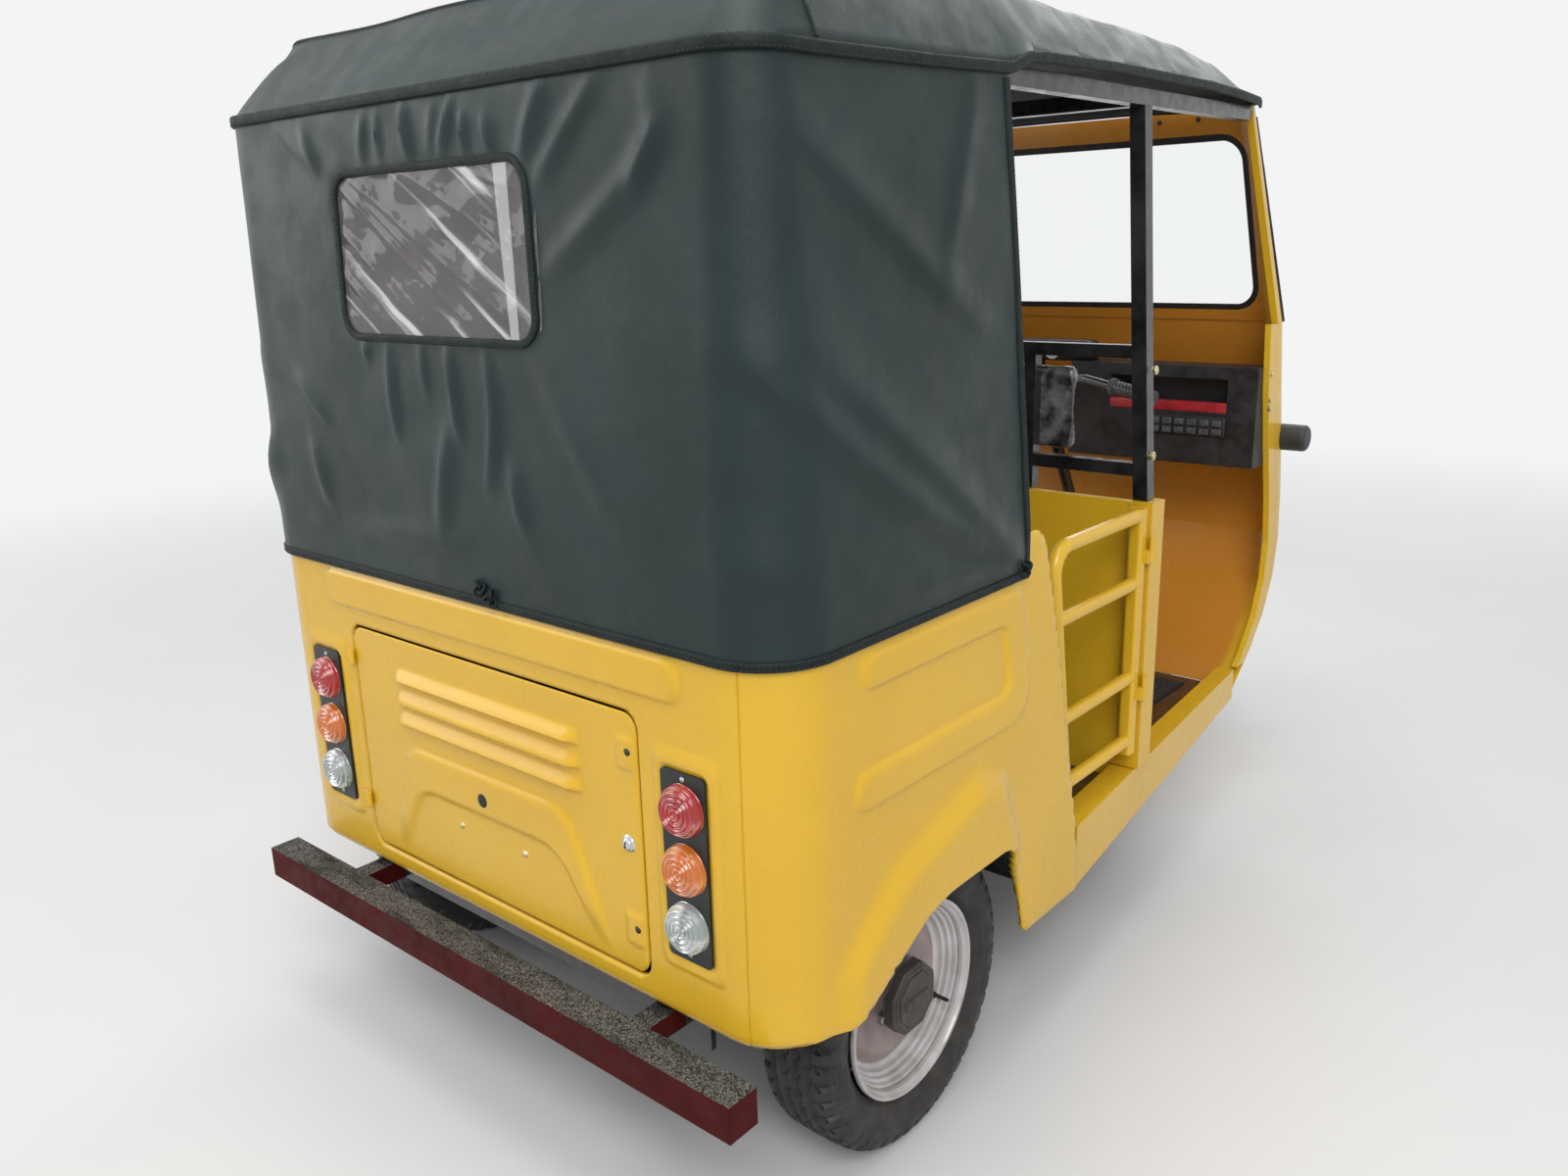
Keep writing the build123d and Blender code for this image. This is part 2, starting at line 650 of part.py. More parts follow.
# Sills
sills = []
for s in (-1, 1):
    sections = []
    for y, x, w, z0, z1 in (
        (body_front_y - fit_gap, sill_rear_x, sill_width, sill_rear_bottom_z, sill_rear_top_z),
        (sill_front_y, sill_front_x, sill_front_width, sill_front_bottom_z, sill_front_top_z),
    ):
        plane = Plane(origin=(s * (x + w / 2), y, (z0 + z1) / 2), x_dir=(1, 0, 0), z_dir=(0, -1, 0))
        sections.append(plane * Rectangle(w, z1 - z0))
    sills.append(loft(sections, ruled=True))
write("sills", sills)

# Partition behind the driver, with the gate posts at its ends
doorway_length = 302
partition_y = body_front_y - doorway_length
partition_thickness = 18
partition_drop = 45
partition_top_z = body_top_z - partition_drop
post_width = 50
post_depth = 56
post_recess = 19
post_outer_x = body_half_width - post_recess
post_inner_x = post_outer_x - post_width
post_front_y = partition_y - (post_depth - partition_thickness)
sill_share = (body_front_y - post_front_y) / (body_front_y - sill_front_y)
post_foot_z = sill_rear_top_z + sill_share * (sill_front_top_z - sill_rear_top_z) + fit_gap
post = block(post_inner_x, post_outer_x, post_front_y, post_front_y + post_depth, post_foot_z,
             partition_top_z)
gate_hinge_x = post_outer_x + hinge_radius
gate_hinge_y = post_front_y + post_depth + hinge_radius
gate_hinge_shares = [0.33, 0.84]
gate_hinge_zs = [post_foot_z + share * (partition_top_z - post_foot_z) for share in gate_hinge_shares]
for z in gate_hinge_zs:
    post += rod((gate_hinge_x, gate_hinge_y, z + fit_gap / 2),
                (gate_hinge_x, gate_hinge_y, z + hinge_length / 2), hinge_radius - fit_gap)
    post += block(post_outer_x, gate_hinge_x, gate_hinge_y - 2 * hinge_radius, gate_hinge_y, z + fit_gap / 2,
                  z + hinge_length / 2)
write("gate_posts", both(post))
sill_inner_x = sill_rear_x + sill_share * (sill_front_x - sill_rear_x) - fit_gap
partition = block(-sill_inner_x, sill_inner_x, partition_y, partition_y + partition_thickness, floor_z,
                  post_foot_z)
partition += block(-post_inner_x + fit_gap, post_inner_x - fit_gap, partition_y,
                   partition_y + partition_thickness, post_foot_z, partition_top_z)
write("partition_panel", partition)

# Black tube frame above the partition, with the driver's back rest on it
b_post_size = 30
b_post_recess = 32
b_post_x = post_outer_x - b_post_recess
frame_lift = 59
frame_height = 224
frame_low_z = partition_top_z + frame_lift
frame_high_z = frame_low_z + frame_height
frame_upright_inset = 249
frame_upright_x = b_post_x - frame_upright_inset
frame_tube = 25
b_post_y = post_front_y + post_depth / 2
roof_tube = 28
rail_rear_rise = 7
rail_front_drop = 18
rail_rear_inset = 34
rail_rear_z = curtain_top_z + rail_rear_rise
rail_front_z = screen_top_z - rail_front_drop
rail_rear_x = curtain_top_half_width - rail_rear_inset
rail_front_x = screen_top_half_width - roof_tube / 2
roof_rail_front_y = screen_top_y + fit_gap
rail_end_gap = 84
roof_rail_rear_y = rear_face_y - rail_end_gap


def roof_rail_at(y):
    """Half width and height of a roof rail at one place along the vehicle."""
    share = (roof_rail_rear_y - y) / (roof_rail_rear_y - roof_rail_front_y)
    return (rail_rear_x + share * (rail_front_x - rail_rear_x),
            rail_rear_z + share * (rail_front_z - rail_rear_z))


b_top_x, b_top_z = roof_rail_at(b_post_y)
b_foot_z = partition_top_z + fit_gap
b_head_z = b_top_z - roof_tube / 2 - fit_gap
b_posts = [
    leaning_post(side * b_post_x, side * b_top_x, b_post_y, b_foot_z, b_head_z, b_post_size)
    for side in (-1, 1)
]
write("b_posts", b_posts)
back_frame = None
for z in (frame_low_z, frame_high_z):
    lean = (b_post_x - b_top_x) * (z + frame_tube / 2 - b_foot_z) / (b_head_z - b_foot_z)
    frame_end_x = b_post_x - lean - b_post_size / 2 - fit_gap
    piece = block(-frame_end_x, frame_end_x, b_post_y - frame_tube / 2, b_post_y + frame_tube / 2,
                  z - frame_tube / 2, z + frame_tube / 2)
    back_frame = piece if back_frame is None else back_frame + piece
for s in (-1, 1):
    back_frame += block(s * frame_upright_x - frame_tube / 2, s * frame_upright_x + frame_tube / 2,
                        b_post_y - frame_tube / 2, b_post_y + frame_tube / 2,
                        partition_top_z + fit_gap, frame_high_z)
write("partition_frame", back_frame)
back_side_gap = 154
back_half_width = b_post_x - back_side_gap
back_depth = 45
back_height = 190
back_lift = 11
back_bottom_z = frame_low_z + back_lift
back_top_z = back_bottom_z + back_height
back_y = b_post_y - frame_tube / 2 - fit_gap
driver_back = block(
    -back_half_width, back_half_width, back_y - back_depth, back_y, back_bottom_z, back_top_z)
driver_back = fillet(driver_back.edges().filter_by(Axis.Y), back_depth / 2)
write("driver_backrest", driver_back)

# Driver's seat on its box
seat_half_width = 210
seat_setback = 190
seat_front_y = sill_front_y + seat_setback
seat_rear_y = partition_y - fit_gap
seat_box_height = 300
seat_box_top_z = floor_z + seat_box_height
seat_cushion_height = 85
seat_overhang = 25
write("driver_seat_box", block(-seat_half_width, seat_half_width, seat_front_y, seat_rear_y, floor_z,
                               seat_box_top_z))
cushion = block(-seat_half_width - seat_overhang, seat_half_width + seat_overhang,
                seat_front_y - seat_overhang, seat_rear_y, seat_box_top_z + fit_gap,
                seat_box_top_z + seat_cushion_height)
cushion = fillet(cushion.edges().filter_by(Axis.Z), seat_overhang)
write("driver_seat_cushion", cushion)

# Passenger bench, with the battery under it
bench_rear_gap = 90
bench_depth = 480
bench_rise = 250
bench_side_gap = 26
bench_rear_y = rear_face_y - bench_rear_gap
bench_front_y = bench_rear_y - bench_depth
bench_base_z = floor_z + bench_rise
bench_height = 100
bench_half_width = body_half_width - body_wall - bench_side_gap
bench_board = 18
write("bench_front", block(-arch_inner_x + fit_gap, arch_inner_x - fit_gap, bench_front_y + seat_overhang,
                           bench_front_y + seat_overhang + bench_board, floor_z, bench_base_z))
bench = block(-bench_half_width, bench_half_width, bench_front_y, bench_rear_y, bench_base_z + bench_board,
              bench_base_z + bench_board + bench_height)
bench = fillet(bench.edges().filter_by(Axis.Z), seat_overhang)
write("passenger_cushion", bench)
board_half_width = body_half_width - body_wall - fit_gap
write("bench_board", block(-board_half_width, board_half_width, bench_front_y + seat_overhang,
                           rear_face_y - body_corner, bench_base_z, bench_base_z + bench_board))
bench_back_depth = 80
bench_back_height = 472
bench_back_side_gap = 55
bench_back_top_z = bench_base_z + bench_board + bench_height + bench_back_height
bench_back_half_width = bench_half_width - bench_back_side_gap
bench_back = block(-bench_back_half_width, bench_back_half_width, bench_rear_y + fit_gap - bench_back_depth,
                   bench_rear_y + fit_gap, bench_base_z + bench_board + bench_height + fit_gap,
                   bench_back_top_z)
write("passenger_backrest", bench_back)
battery_side_gap = 150
battery_half_width = arch_inner_x - battery_side_gap
battery_length = 340
battery_height = 220
battery_front_y = bench_front_y + 3 * seat_overhang
write("battery_box", block(-battery_half_width, battery_half_width, battery_front_y,
                           battery_front_y + battery_length, floor_z, floor_z + battery_height))

# Rubber mats on the floor, one before the bench and one before the driver
mat_thickness = 4
mat_end_gap = 40
mats = [
    block(-arch_inner_x, arch_inner_x, y0 + mat_end_gap, y1 - mat_end_gap, floor_z, floor_z + mat_thickness)
    for y0, y1 in (
        (partition_y + partition_thickness, bench_front_y + seat_overhang),
        (sill_front_y, seat_front_y + mat_end_gap - mat_thickness),
    )
]
write("floor_mats", mats)

# Front cowl: curved apron from the floor to the windscreen.
# Columns: share of height from floor to top, side edge and centre as shares of the forward reach
cowl_section_shares = [
    (0.0, 0.0, 0.05), (0.08, 0.3, 0.34), (0.17, 0.52, 0.62), (0.27, 0.64, 0.86), (0.38, 0.67, 0.97),
    (0.51, 0.61, 1.0), (0.66, 0.51, 0.97), (0.82, 0.41, 0.87), (1.0, 0.35, 0.68),
]
cowl_edge_y = sill_front_y
cowl_corner_share = 0.6
cowl_bow_share = 0.3


def cowl_face(z, side_y, centre_y, half_width, back):
    """One level section: flat rear edge, rounded front corners and a bowed front."""
    depth = side_y - centre_y
    corner_y = centre_y + cowl_bow_share * depth
    line = Polyline((half_width, corner_y), (half_width, side_y + back), (-half_width, side_y + back),
                    (-half_width, corner_y))
    bow = ThreePointArc((-half_width, corner_y), (0, centre_y), (half_width, corner_y))
    face = make_face([*line.edges(), bow])
    corners = face.vertices().sort_by(Axis.Y)[:2]
    return Pos(0, 0, z) * fillet(corners, cowl_corner_share * depth)


def cowl_loft(inset, back, table):
    """The lofted front from a table of level sections."""
    faces = [
        cowl_face(z, side_y, centre_y + inset, half_width - inset, back)
        for z, side_y, centre_y, half_width in table
    ]
    return loft(faces, ruled=True)


cowl_table = [
    (floor_z + a * cowl_height, cowl_edge_y - b * cowl_reach, cowl_edge_y - c * cowl_reach, cowl_half_width)
    for a, b, c in cowl_section_shares
]
cowl = cowl_loft(0, 0, cowl_table) - cowl_loft(cowl_wall, 2 * cowl_wall, cowl_table)
cowl -= rod(on_axis(0), on_axis(2 * head_high), head_tube_radius + fit_gap)
write("front_cowl", cowl)
cowl_skin = cowl_loft(-fit_gap, 0, cowl_table)

# Head lamps and front indicators, seated on the cowl's skin
head_lamp_x_share = 0.55
head_lamp_rise = 430
head_lamp_radius = 84
head_lamp_depth = 46
head_lamp_dome = 22
indicator_rise = 590
indicator_setback = 220
indicator_radius = 32
indicator_reach = 58
lamp_face_y = cowl_edge_y - cowl_reach - head_lamp_depth
head_lamp_x = head_lamp_x_share * cowl_half_width
head_lamp = rod((head_lamp_x, lamp_face_y, floor_z + head_lamp_rise),
                (head_lamp_x, lamp_face_y + 2 * head_lamp_depth, floor_z + head_lamp_rise), head_lamp_radius)
head_lamp = fillet(head_lamp.edges().sort_by(Axis.Y)[0], head_lamp_dome)
write("head_lamps", both(head_lamp - cowl_skin))
indicator_y, indicator_z = cowl_edge_y - indicator_setback, floor_z + indicator_rise
indicator = rod((cowl_half_width / 2, indicator_y, indicator_z),
                (cowl_half_width + indicator_reach, indicator_y, indicator_z), indicator_radius)
indicator = fillet(indicator.edges().sort_by(Axis.X)[-1], indicator_radius / 3)
write("front_indicators", both(indicator - cowl_skin))

# Windscreen frame, seal and glass, on one curved surface
screen_table = [
    (cowl_top_z + fit_gap, cowl_table[-1][1], cowl_table[-1][2], cowl_half_width),
    (screen_top_z, screen_top_y, screen_top_y - screen_top_bulge, screen_top_half_width),
]
screen_wall = 16
window_margin = 30
window_low_margin = 26
window_high_margin = 50
window_half_width = screen_top_half_width - window_margin
window_bottom_z = cowl_top_z + window_low_margin
window_top_z = screen_top_z - window_high_margin
window_corner = 60
seal_width = 14
glass_thickness = 6


def window_cut(shrink):
    """The windscreen opening, made smaller on every side, as a long prism."""
    face = Pos(0, (window_bottom_z + window_top_z) / 2) * RectangleRounded(
        2 * (window_half_width - shrink), window_top_z - window_bottom_z - 2 * shrink,
        window_corner - shrink)
    return rear_plate(face, screen_top_y + overrun, 10 * overrun)


screen_outer = cowl_loft(0, 0, screen_table)
screen_inner = cowl_loft(screen_wall, 2 * screen_wall, screen_table)
frame_solid = screen_outer - screen_inner
write("windscreen_frame", frame_solid - window_cut(0))
seal_solid = frame_solid & window_cut(fit_gap)
write("windscreen_seal", seal_solid - window_cut(seal_width))
glass_inset = (screen_wall - glass_thickness) / 2
glass = cowl_loft(glass_inset, 0, screen_table) - cowl_loft(
    screen_wall - glass_inset, 2 * screen_wall, screen_table)
write("windscreen_glass", glass & window_cut(seal_width + fit_gap))

# Front pillars: yellow edge members behind the cowl's side edges
pillar_width = 46
pillar_thickness = 14
pillar_path = [(t[1] + fit_gap, t[0]) for t in cowl_table]
pillar_points = pillar_path + [(y + pillar_width, z) for y, z in reversed(pillar_path)]
pillar = side_plate(make_face(Polyline(*pillar_points, close=True)), cowl_half_width - pillar_thickness,
                    cowl_half_width)
pillar -= block(-overall_length, overall_length, -overall_length, overall_length, 0, sill_front_top_z)
write("front_pillars", both(pillar))

# Dashboard
dash_half_width = cowl_half_width - pillar_thickness - fit_gap
dash_height = 237
dash_drop = 100
dash_setback = 55
dash_top_z = cowl_top_z - dash_drop
dash_bottom_z = dash_top_z - dash_height
dash_depth = 85
dash_rear_y = sill_front_y - dash_setback
dash_slot = 60
dash = block(-dash_half_width, dash_half_width, dash_rear_y - dash_depth, dash_rear_y, dash_bottom_z,
             dash_top_z)
dash -= block(-dash_slot, dash_slot, dash_rear_y - 2 * dash_depth, dash_rear_y + dash_depth,
              dash_bottom_z - overrun, dash_top_z + overrun)
glove_side_gap = 71
glove_width = 300
glove_top_drop = 30
glove_height = 80
glove_depth = 60
glove_x1 = dash_half_width - glove_side_gap
glove_x0 = glove_x1 - glove_width
glove_z1 = dash_top_z - glove_top_drop
glove_z0 = glove_z1 - glove_height
dash -= block(-glove_x1, -glove_x0, dash_rear_y - glove_depth, dash_rear_y + overrun, glove_z0, glove_z1)
write("dashboard", dash)

# Canvas curtain: back and sides of the hood
curtain_table = [
    (curtain_hem_z, body_half_width + curtain_gap, rear_face_y + curtain_gap),
    (curtain_shoulder_z, body_half_width + curtain_gap, rear_face_y + curtain_gap),
    (curtain_top_z - fit_gap, curtain_top_half_width - curtain_thickness,
     curtain_top_rear_y - curtain_thickness),
]


def curtain_loft(grow, front_y):
    """The hood's upright faces, grown by the cloth's thickness or not."""
    return loft([plan(w + grow, rear + grow, front_y, body_corner + grow, z)
                 for z, w, rear in curtain_table], ruled=True)


curtain = curtain_loft(curtain_thickness, curtain_front_y) - curtain_loft(0, curtain_front_y - overrun)
rear_window_x = 20
rear_window_half_width = 240
rear_window_drop = 95
rear_window_height = 237
rear_window_top_z = curtain_top_z - rear_window_drop
rear_window_bottom_z = rear_window_top_z - rear_window_height
rear_window_corner = 30


def rear_window(shrink):
    """The hood's rear window opening."""
    height = rear_window_top_z - rear_window_bottom_z
    face = Pos(rear_window_x, (rear_window_bottom_z + rear_window_top_z) / 2) * RectangleRounded(
        2 * (rear_window_half_width - shrink), height - 2 * shrink, rear_window_corner - shrink)
    return rear_plate(face, rear_face_y + overrun, 3 * overrun)


write("canopy_curtain", curtain - rear_window(0))
write("rear_window", curtain & rear_window(fit_gap))

# Canvas roof, sections across the vehicle.
# Columns: share of the roof's length from the rear, hem half width share, hem height share,
# shoulder half width share, shoulder height share, crown height share
roof_section_shares = [
    (0.0, 1.0, 0.0, 0.93, 0.04, 0.06), (0.075, 0.995, 0.0, 0.89, 0.81, 0.91),
    (0.35, 0.99, 0.05, 0.89, 0.86, 0.98), (0.69, 0.95, 0.19, 0.88, 0.9, 1.0),
    (1.0, 0.91, 0.285, 0.86, 0.42, 0.5),
]
roof_rear_y = curtain_top_rear_y


def roof_loft(inset):
    """The roof's form, inset by the cloth's thickness or not."""
    sections = []
    for along, hem_w, hem_z, shoulder_w, shoulder_z, crown_z in roof_section_shares:
        y = roof_rear_y - along * roof_length
        hem = Vector(hem_w * roof_half_width - inset, curtain_top_z + hem_z * roof_rise)
        shoulder = Vector(
            shoulder_w * roof_half_width - inset, curtain_top_z + shoulder_z * roof_rise - inset)
        crown = curtain_top_z + crown_z * roof_rise - inset
        if inset:
            hem += (hem - shoulder).normalized() * overrun
        hem, shoulder = (hem.X, hem.Y), (shoulder.X, shoulder.Y)
        points = [hem, shoulder, (0, crown), (-shoulder[0], shoulder[1]), (-hem[0], hem[1])]
        plane = Plane(origin=(0, y, 0), x_dir=(1, 0, 0), z_dir=(0, -1, 0))
        sections.append(plane * make_face(Polyline(*points, close=True)))
    return loft(sections, ruled=True)


roof_front_y = roof_rear_y - roof_length
roof_trim = extrude(
    plan(roof_half_width - roof_thickness, roof_rear_y - roof_thickness, roof_front_y + roof_thickness,
         roof_corner - roof_thickness, curtain_hem_z), overall_length)
corner_trim = extrude(plan(roof_half_width, roof_rear_y, roof_front_y - overrun, roof_corner,
                           curtain_hem_z), overall_length)
roof = (roof_loft(0) & corner_trim) - (roof_loft(roof_thickness) & roof_trim)
write("canopy_roof", roof)

# Roof frame: two rails, bows across and corner posts
rails = [
    bar((s * rail_rear_x, roof_rail_rear_y, rail_rear_z),
        (s * rail_front_x, roof_rail_front_y, rail_front_z), roof_tube, roof_tube)
    for s in (-1, 1)
]
roof_frame = rails[0] + rails[1]
bow_place_shares = [0.012, 0.31, 0.66]
for share in bow_place_shares:
    y = roof_rail_rear_y - share * (roof_rail_rear_y - roof_rail_front_y)
    x, z = roof_rail_at(y)
    roof_frame += block(-x, x, y - roof_tube / 2, y + roof_tube / 2, z - roof_tube / 2, z + roof_tube / 2)
hood_post_lap = 25
hood_post_foot_z = curtain_hem_z - hood_post_lap
for y in (roof_rail_rear_y - roof_tube, curtain_front_y + roof_tube):
    x, z = roof_rail_at(y)
    for s in (-1, 1):
        roof_frame += block(s * x - roof_tube / 2, s * x + roof_tube / 2, y - roof_tube / 2,
                            y + roof_tube / 2, hood_post_foot_z, z)
write("roof_frame", roof_frame)

# Fork, stem and handlebar
leg_x = 98
leg_radius = 15
link_thickness = 14
crown = bar(on_axis(fork_crown_low), on_axis(fork_crown_high), 2 * leg_x + 2 * leg_radius, 2 * leg_radius)
fork = crown
for s in (-1, 1):
    fork += rod(on_axis(-leg_radius, s * leg_x), on_axis(fork_crown_high, s * leg_x), leg_radius)
    link = bar(on_axis(0, s * leg_x, -leg_radius), on_axis(0, s * leg_x, wheel_offset + leg_radius),
               link_thickness, 2 * leg_radius)
    fork += link
fork += rod((-leg_x, front_axle_y, tyre_radius), (leg_x, front_axle_y, tyre_radius), axle_radius)
write("fork", fork)
stem_top = 1010
stem = rod(on_axis(fork_crown_high + fit_gap), on_axis(stem_top), stem_radius)
bar_radius = 11
clamp_half_width = 60
bar_bend_x = 150
bar_bend_sweep = 30
grip_x = 350
grip_sweep = 90
bar_high = stem_top + 2 * bar_radius
bar_points = [
    on_axis(bar_high, -grip_x, -grip_sweep), on_axis(bar_high, -bar_bend_x, -bar_bend_sweep),
    on_axis(stem_top, -clamp_half_width), on_axis(stem_top, clamp_half_width),
    on_axis(bar_high, bar_bend_x, -bar_bend_sweep), on_axis(bar_high, grip_x, -grip_sweep),
]
handlebar = stem + tube(bar_points, 3 * bar_radius, bar_radius)
grip_length = 120
grip_radius = 16
for end, inner in ((bar_points[0], bar_points[1]), (bar_points[-1], bar_points[-2])):
    along = (Vector(*inner) - Vector(*end)).normalized() * grip_length
    handlebar += rod(end, tuple(Vector(*end) + along), grip_radius)
write("handlebar", handlebar)

# Front mudguard over the wheel
guard_half_width = 78
guard = rod((-guard_half_width, front_axle_y, tyre_radius), (guard_half_width, front_axle_y, tyre_radius),
            guard_radius)
guard -= rod((-guard_half_width - overrun, front_axle_y, tyre_radius),
             (guard_half_width + overrun, front_axle_y, tyre_radius), guard_radius - guard_thickness)
guard -= block(-overall_length, overall_length, -overall_length, overall_length, -overall_length,
               tyre_radius)
guard_lug_at = sqrt((guard_radius - guard_thickness / 2) ** 2 - wheel_offset ** 2)
guard_lug_width = 36
guard_lug_thickness = 8
for s in (-1, 1):
    guard += bar(
        on_axis(guard_lug_at, s * (guard_half_width - guard_lug_thickness)),
        on_axis(guard_lug_at, s * (leg_x - leg_radius - fit_gap)), guard_lug_width, guard_lug_thickness)
write("front_mudguard", guard)

# Gates in the rear doorways, hinged on the gate posts
gate_recess = 16
gate_x = post_outer_x - gate_recess
gate_tube = 28
gate_lift = 100
gate_drop = 5
gate_bottom_z = floor_z + gate_lift
gate_top_z = partition_top_z - gate_drop
gate_front_y = gate_hinge_y + moving_gap
gate_top_length = 357
gate_low_length = 277
gate_rear_top_y = gate_front_y + gate_top_length
gate_rear_low_y = gate_front_y + gate_low_length
gate_bar_shares = [0.0, 0.29, 0.71]
gate_bar_radius = 13
gate_bend = 46
for name, s in (("left", 1), ("right", -1)):
    high = gate_top_z - gate_tube / 2
    front = gate_front_y + gate_tube / 2
    gate = block(*sorted((s * (gate_x - gate_tube / 2), s * (gate_x + gate_tube / 2))),
                 gate_front_y, gate_front_y + gate_tube, gate_bottom_z - gate_tube, gate_top_z)
    gate = fillet(gate.edges().filter_by(Axis.Z), gate_tube / 4)
    gate += tube([
        (s * gate_x, front, high), (s * gate_x, gate_rear_top_y, high),
        (s * gate_x, gate_rear_low_y, gate_bottom_z - gate_tube),
    ], gate_bend, gate_tube / 2)
    for share in gate_bar_shares:
        z = gate_bottom_z + share * (high - gate_bottom_z)
        rear = gate_rear_low_y + share * (gate_rear_top_y - gate_rear_low_y)
        gate += rod((s * gate_x, front, z), (s * gate_x, rear, z), gate_bar_radius)
    for z in gate_hinge_zs:
        gate += rod((s * gate_hinge_x, gate_hinge_y, z - hinge_length / 2),
                    (s * gate_hinge_x, gate_hinge_y, z - fit_gap / 2), hinge_radius - fit_gap)
        gate += block(*sorted((s * gate_x, s * gate_hinge_x)), gate_hinge_y, gate_hinge_y + 3 * hinge_radius,
                      z - hinge_length / 2, z - fit_gap / 2)
    write(f"gate_{name}", gate)
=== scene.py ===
from math import cos, pi, radians, sin
import bmesh
import bpy
import numpy as np
from mathutils import Matrix, Vector


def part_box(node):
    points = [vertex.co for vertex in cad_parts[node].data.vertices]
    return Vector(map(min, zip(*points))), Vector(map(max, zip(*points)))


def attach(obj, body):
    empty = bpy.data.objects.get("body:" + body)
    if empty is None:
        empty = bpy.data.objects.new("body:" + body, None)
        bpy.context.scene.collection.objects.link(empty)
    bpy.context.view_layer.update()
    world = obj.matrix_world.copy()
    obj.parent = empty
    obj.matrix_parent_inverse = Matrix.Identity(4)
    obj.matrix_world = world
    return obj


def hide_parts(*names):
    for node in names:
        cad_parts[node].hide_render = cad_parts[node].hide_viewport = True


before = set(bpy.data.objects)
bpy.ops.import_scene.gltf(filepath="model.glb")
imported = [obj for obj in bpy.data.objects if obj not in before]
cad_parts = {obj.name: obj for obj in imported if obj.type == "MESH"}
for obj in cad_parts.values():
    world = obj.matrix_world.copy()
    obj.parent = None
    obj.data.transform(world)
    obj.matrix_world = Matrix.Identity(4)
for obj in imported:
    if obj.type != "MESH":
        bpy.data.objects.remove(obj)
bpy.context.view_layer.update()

# Camera: behind the vehicle on its right side, at chest height, as in the photograph. Its place, tilt
# and lens were fitted to the body's corners, the lamps, the posts and the wheel.
photo_width = 1600
photo_focal = 1250.4
sensor_width = 36
camera_place = Vector((-1.555, 2.345, 1.425))
heading, dip, roll = radians(40.42), radians(15.65), radians(-1.43)
sight = Vector((sin(heading) * cos(dip), -cos(heading) * cos(dip), -sin(dip)))
level = sight.cross(Vector((0, 0, 1))).normalized()
upward = level.cross(sight)
across = cos(roll) * level + sin(roll) * upward
upright = cos(roll) * upward - sin(roll) * level
camera = bpy.data.objects.new("camera", bpy.data.cameras.new("camera"))
bpy.context.scene.collection.objects.link(camera)
camera.data.sensor_width = sensor_width
camera.data.lens = photo_focal / photo_width * sensor_width
camera.matrix_world = (
    Matrix.Translation(camera_place) @ Matrix((across, upright, -sight)).transposed().to_4x4()
)
bpy.context.scene.camera = camera

# Chassis frame, springs, axle, fork and roof tubes: welded steel tube and plate in black enamel,
# brushed on by hand, so its gloss wanders and road dust dulls what lies low.
dust_colour = (0.16, 0.13, 0.10, 1)
dust_top = 0.42
dust_low = 0.05


def add(tree, kind, inputs=(), **settings):
    """A shader node with its settings; an input that is another node's socket is linked."""
    new = tree.nodes.new("ShaderNode" + kind)
    for key, value in settings.items():
        setattr(new, key, value)
    for key, value in dict(inputs).items():
        if isinstance(value, bpy.types.NodeSocket):
            tree.links.new(value, new.inputs[key])
        else:
            new.inputs[key].default_value = value
    return new


def resting_place(tree, stretch=(1, 1, 1)):
    """Where a point lies on the piece itself, in metres, so that a pattern rides with the piece."""
    place = add(tree, "TexCoord").outputs["Object"]
    return add(tree, "Mapping", {"Vector": place, "Scale": stretch}).outputs["Vector"]


def grain(tree, scale, detail=3.0, stretch=(1, 1, 1)):
    """Noise with so many grains to the metre."""
    inputs = {"Vector": resting_place(tree, stretch), "Scale": scale, "Detail": detail}
    return add(tree, "TexNoise", inputs).outputs["Fac"]


def spread(tree, value, low, high, start=0.35, end=0.65):
    """A number that goes from low to high as value goes from start to end."""
    inputs = {"Value": value, "From Min": start, "From Max": end, "To Min": low, "To Max": high}
    return add(tree, "MapRange", inputs, interpolation_type="SMOOTHSTEP").outputs["Result"]


def blend_colour(tree, share, first, second):
    """A colour that goes from the first to the second as share goes from 0 to 1."""
    return add(tree, "Mix", {0: share, 6: first, 7: second}, data_type="RGBA").outputs[2]


def times(tree, a, b, operation="MULTIPLY"):
    """Two numbers put together."""
    return add(tree, "Math", {0: a, 1: b}, operation=operation).outputs[0]


def along_axis(tree, vector, axis):
    """One coordinate of a place or a direction."""
    return add(tree, "SeparateXYZ", {"Vector": vector}).outputs[axis]


def relief(tree, height, depth, normal):
    """The shading direction over fine relief of a depth in metres."""
    return add(tree, "Bump", {"Height": height, "Distance": depth, "Normal": normal}).outputs["Normal"]


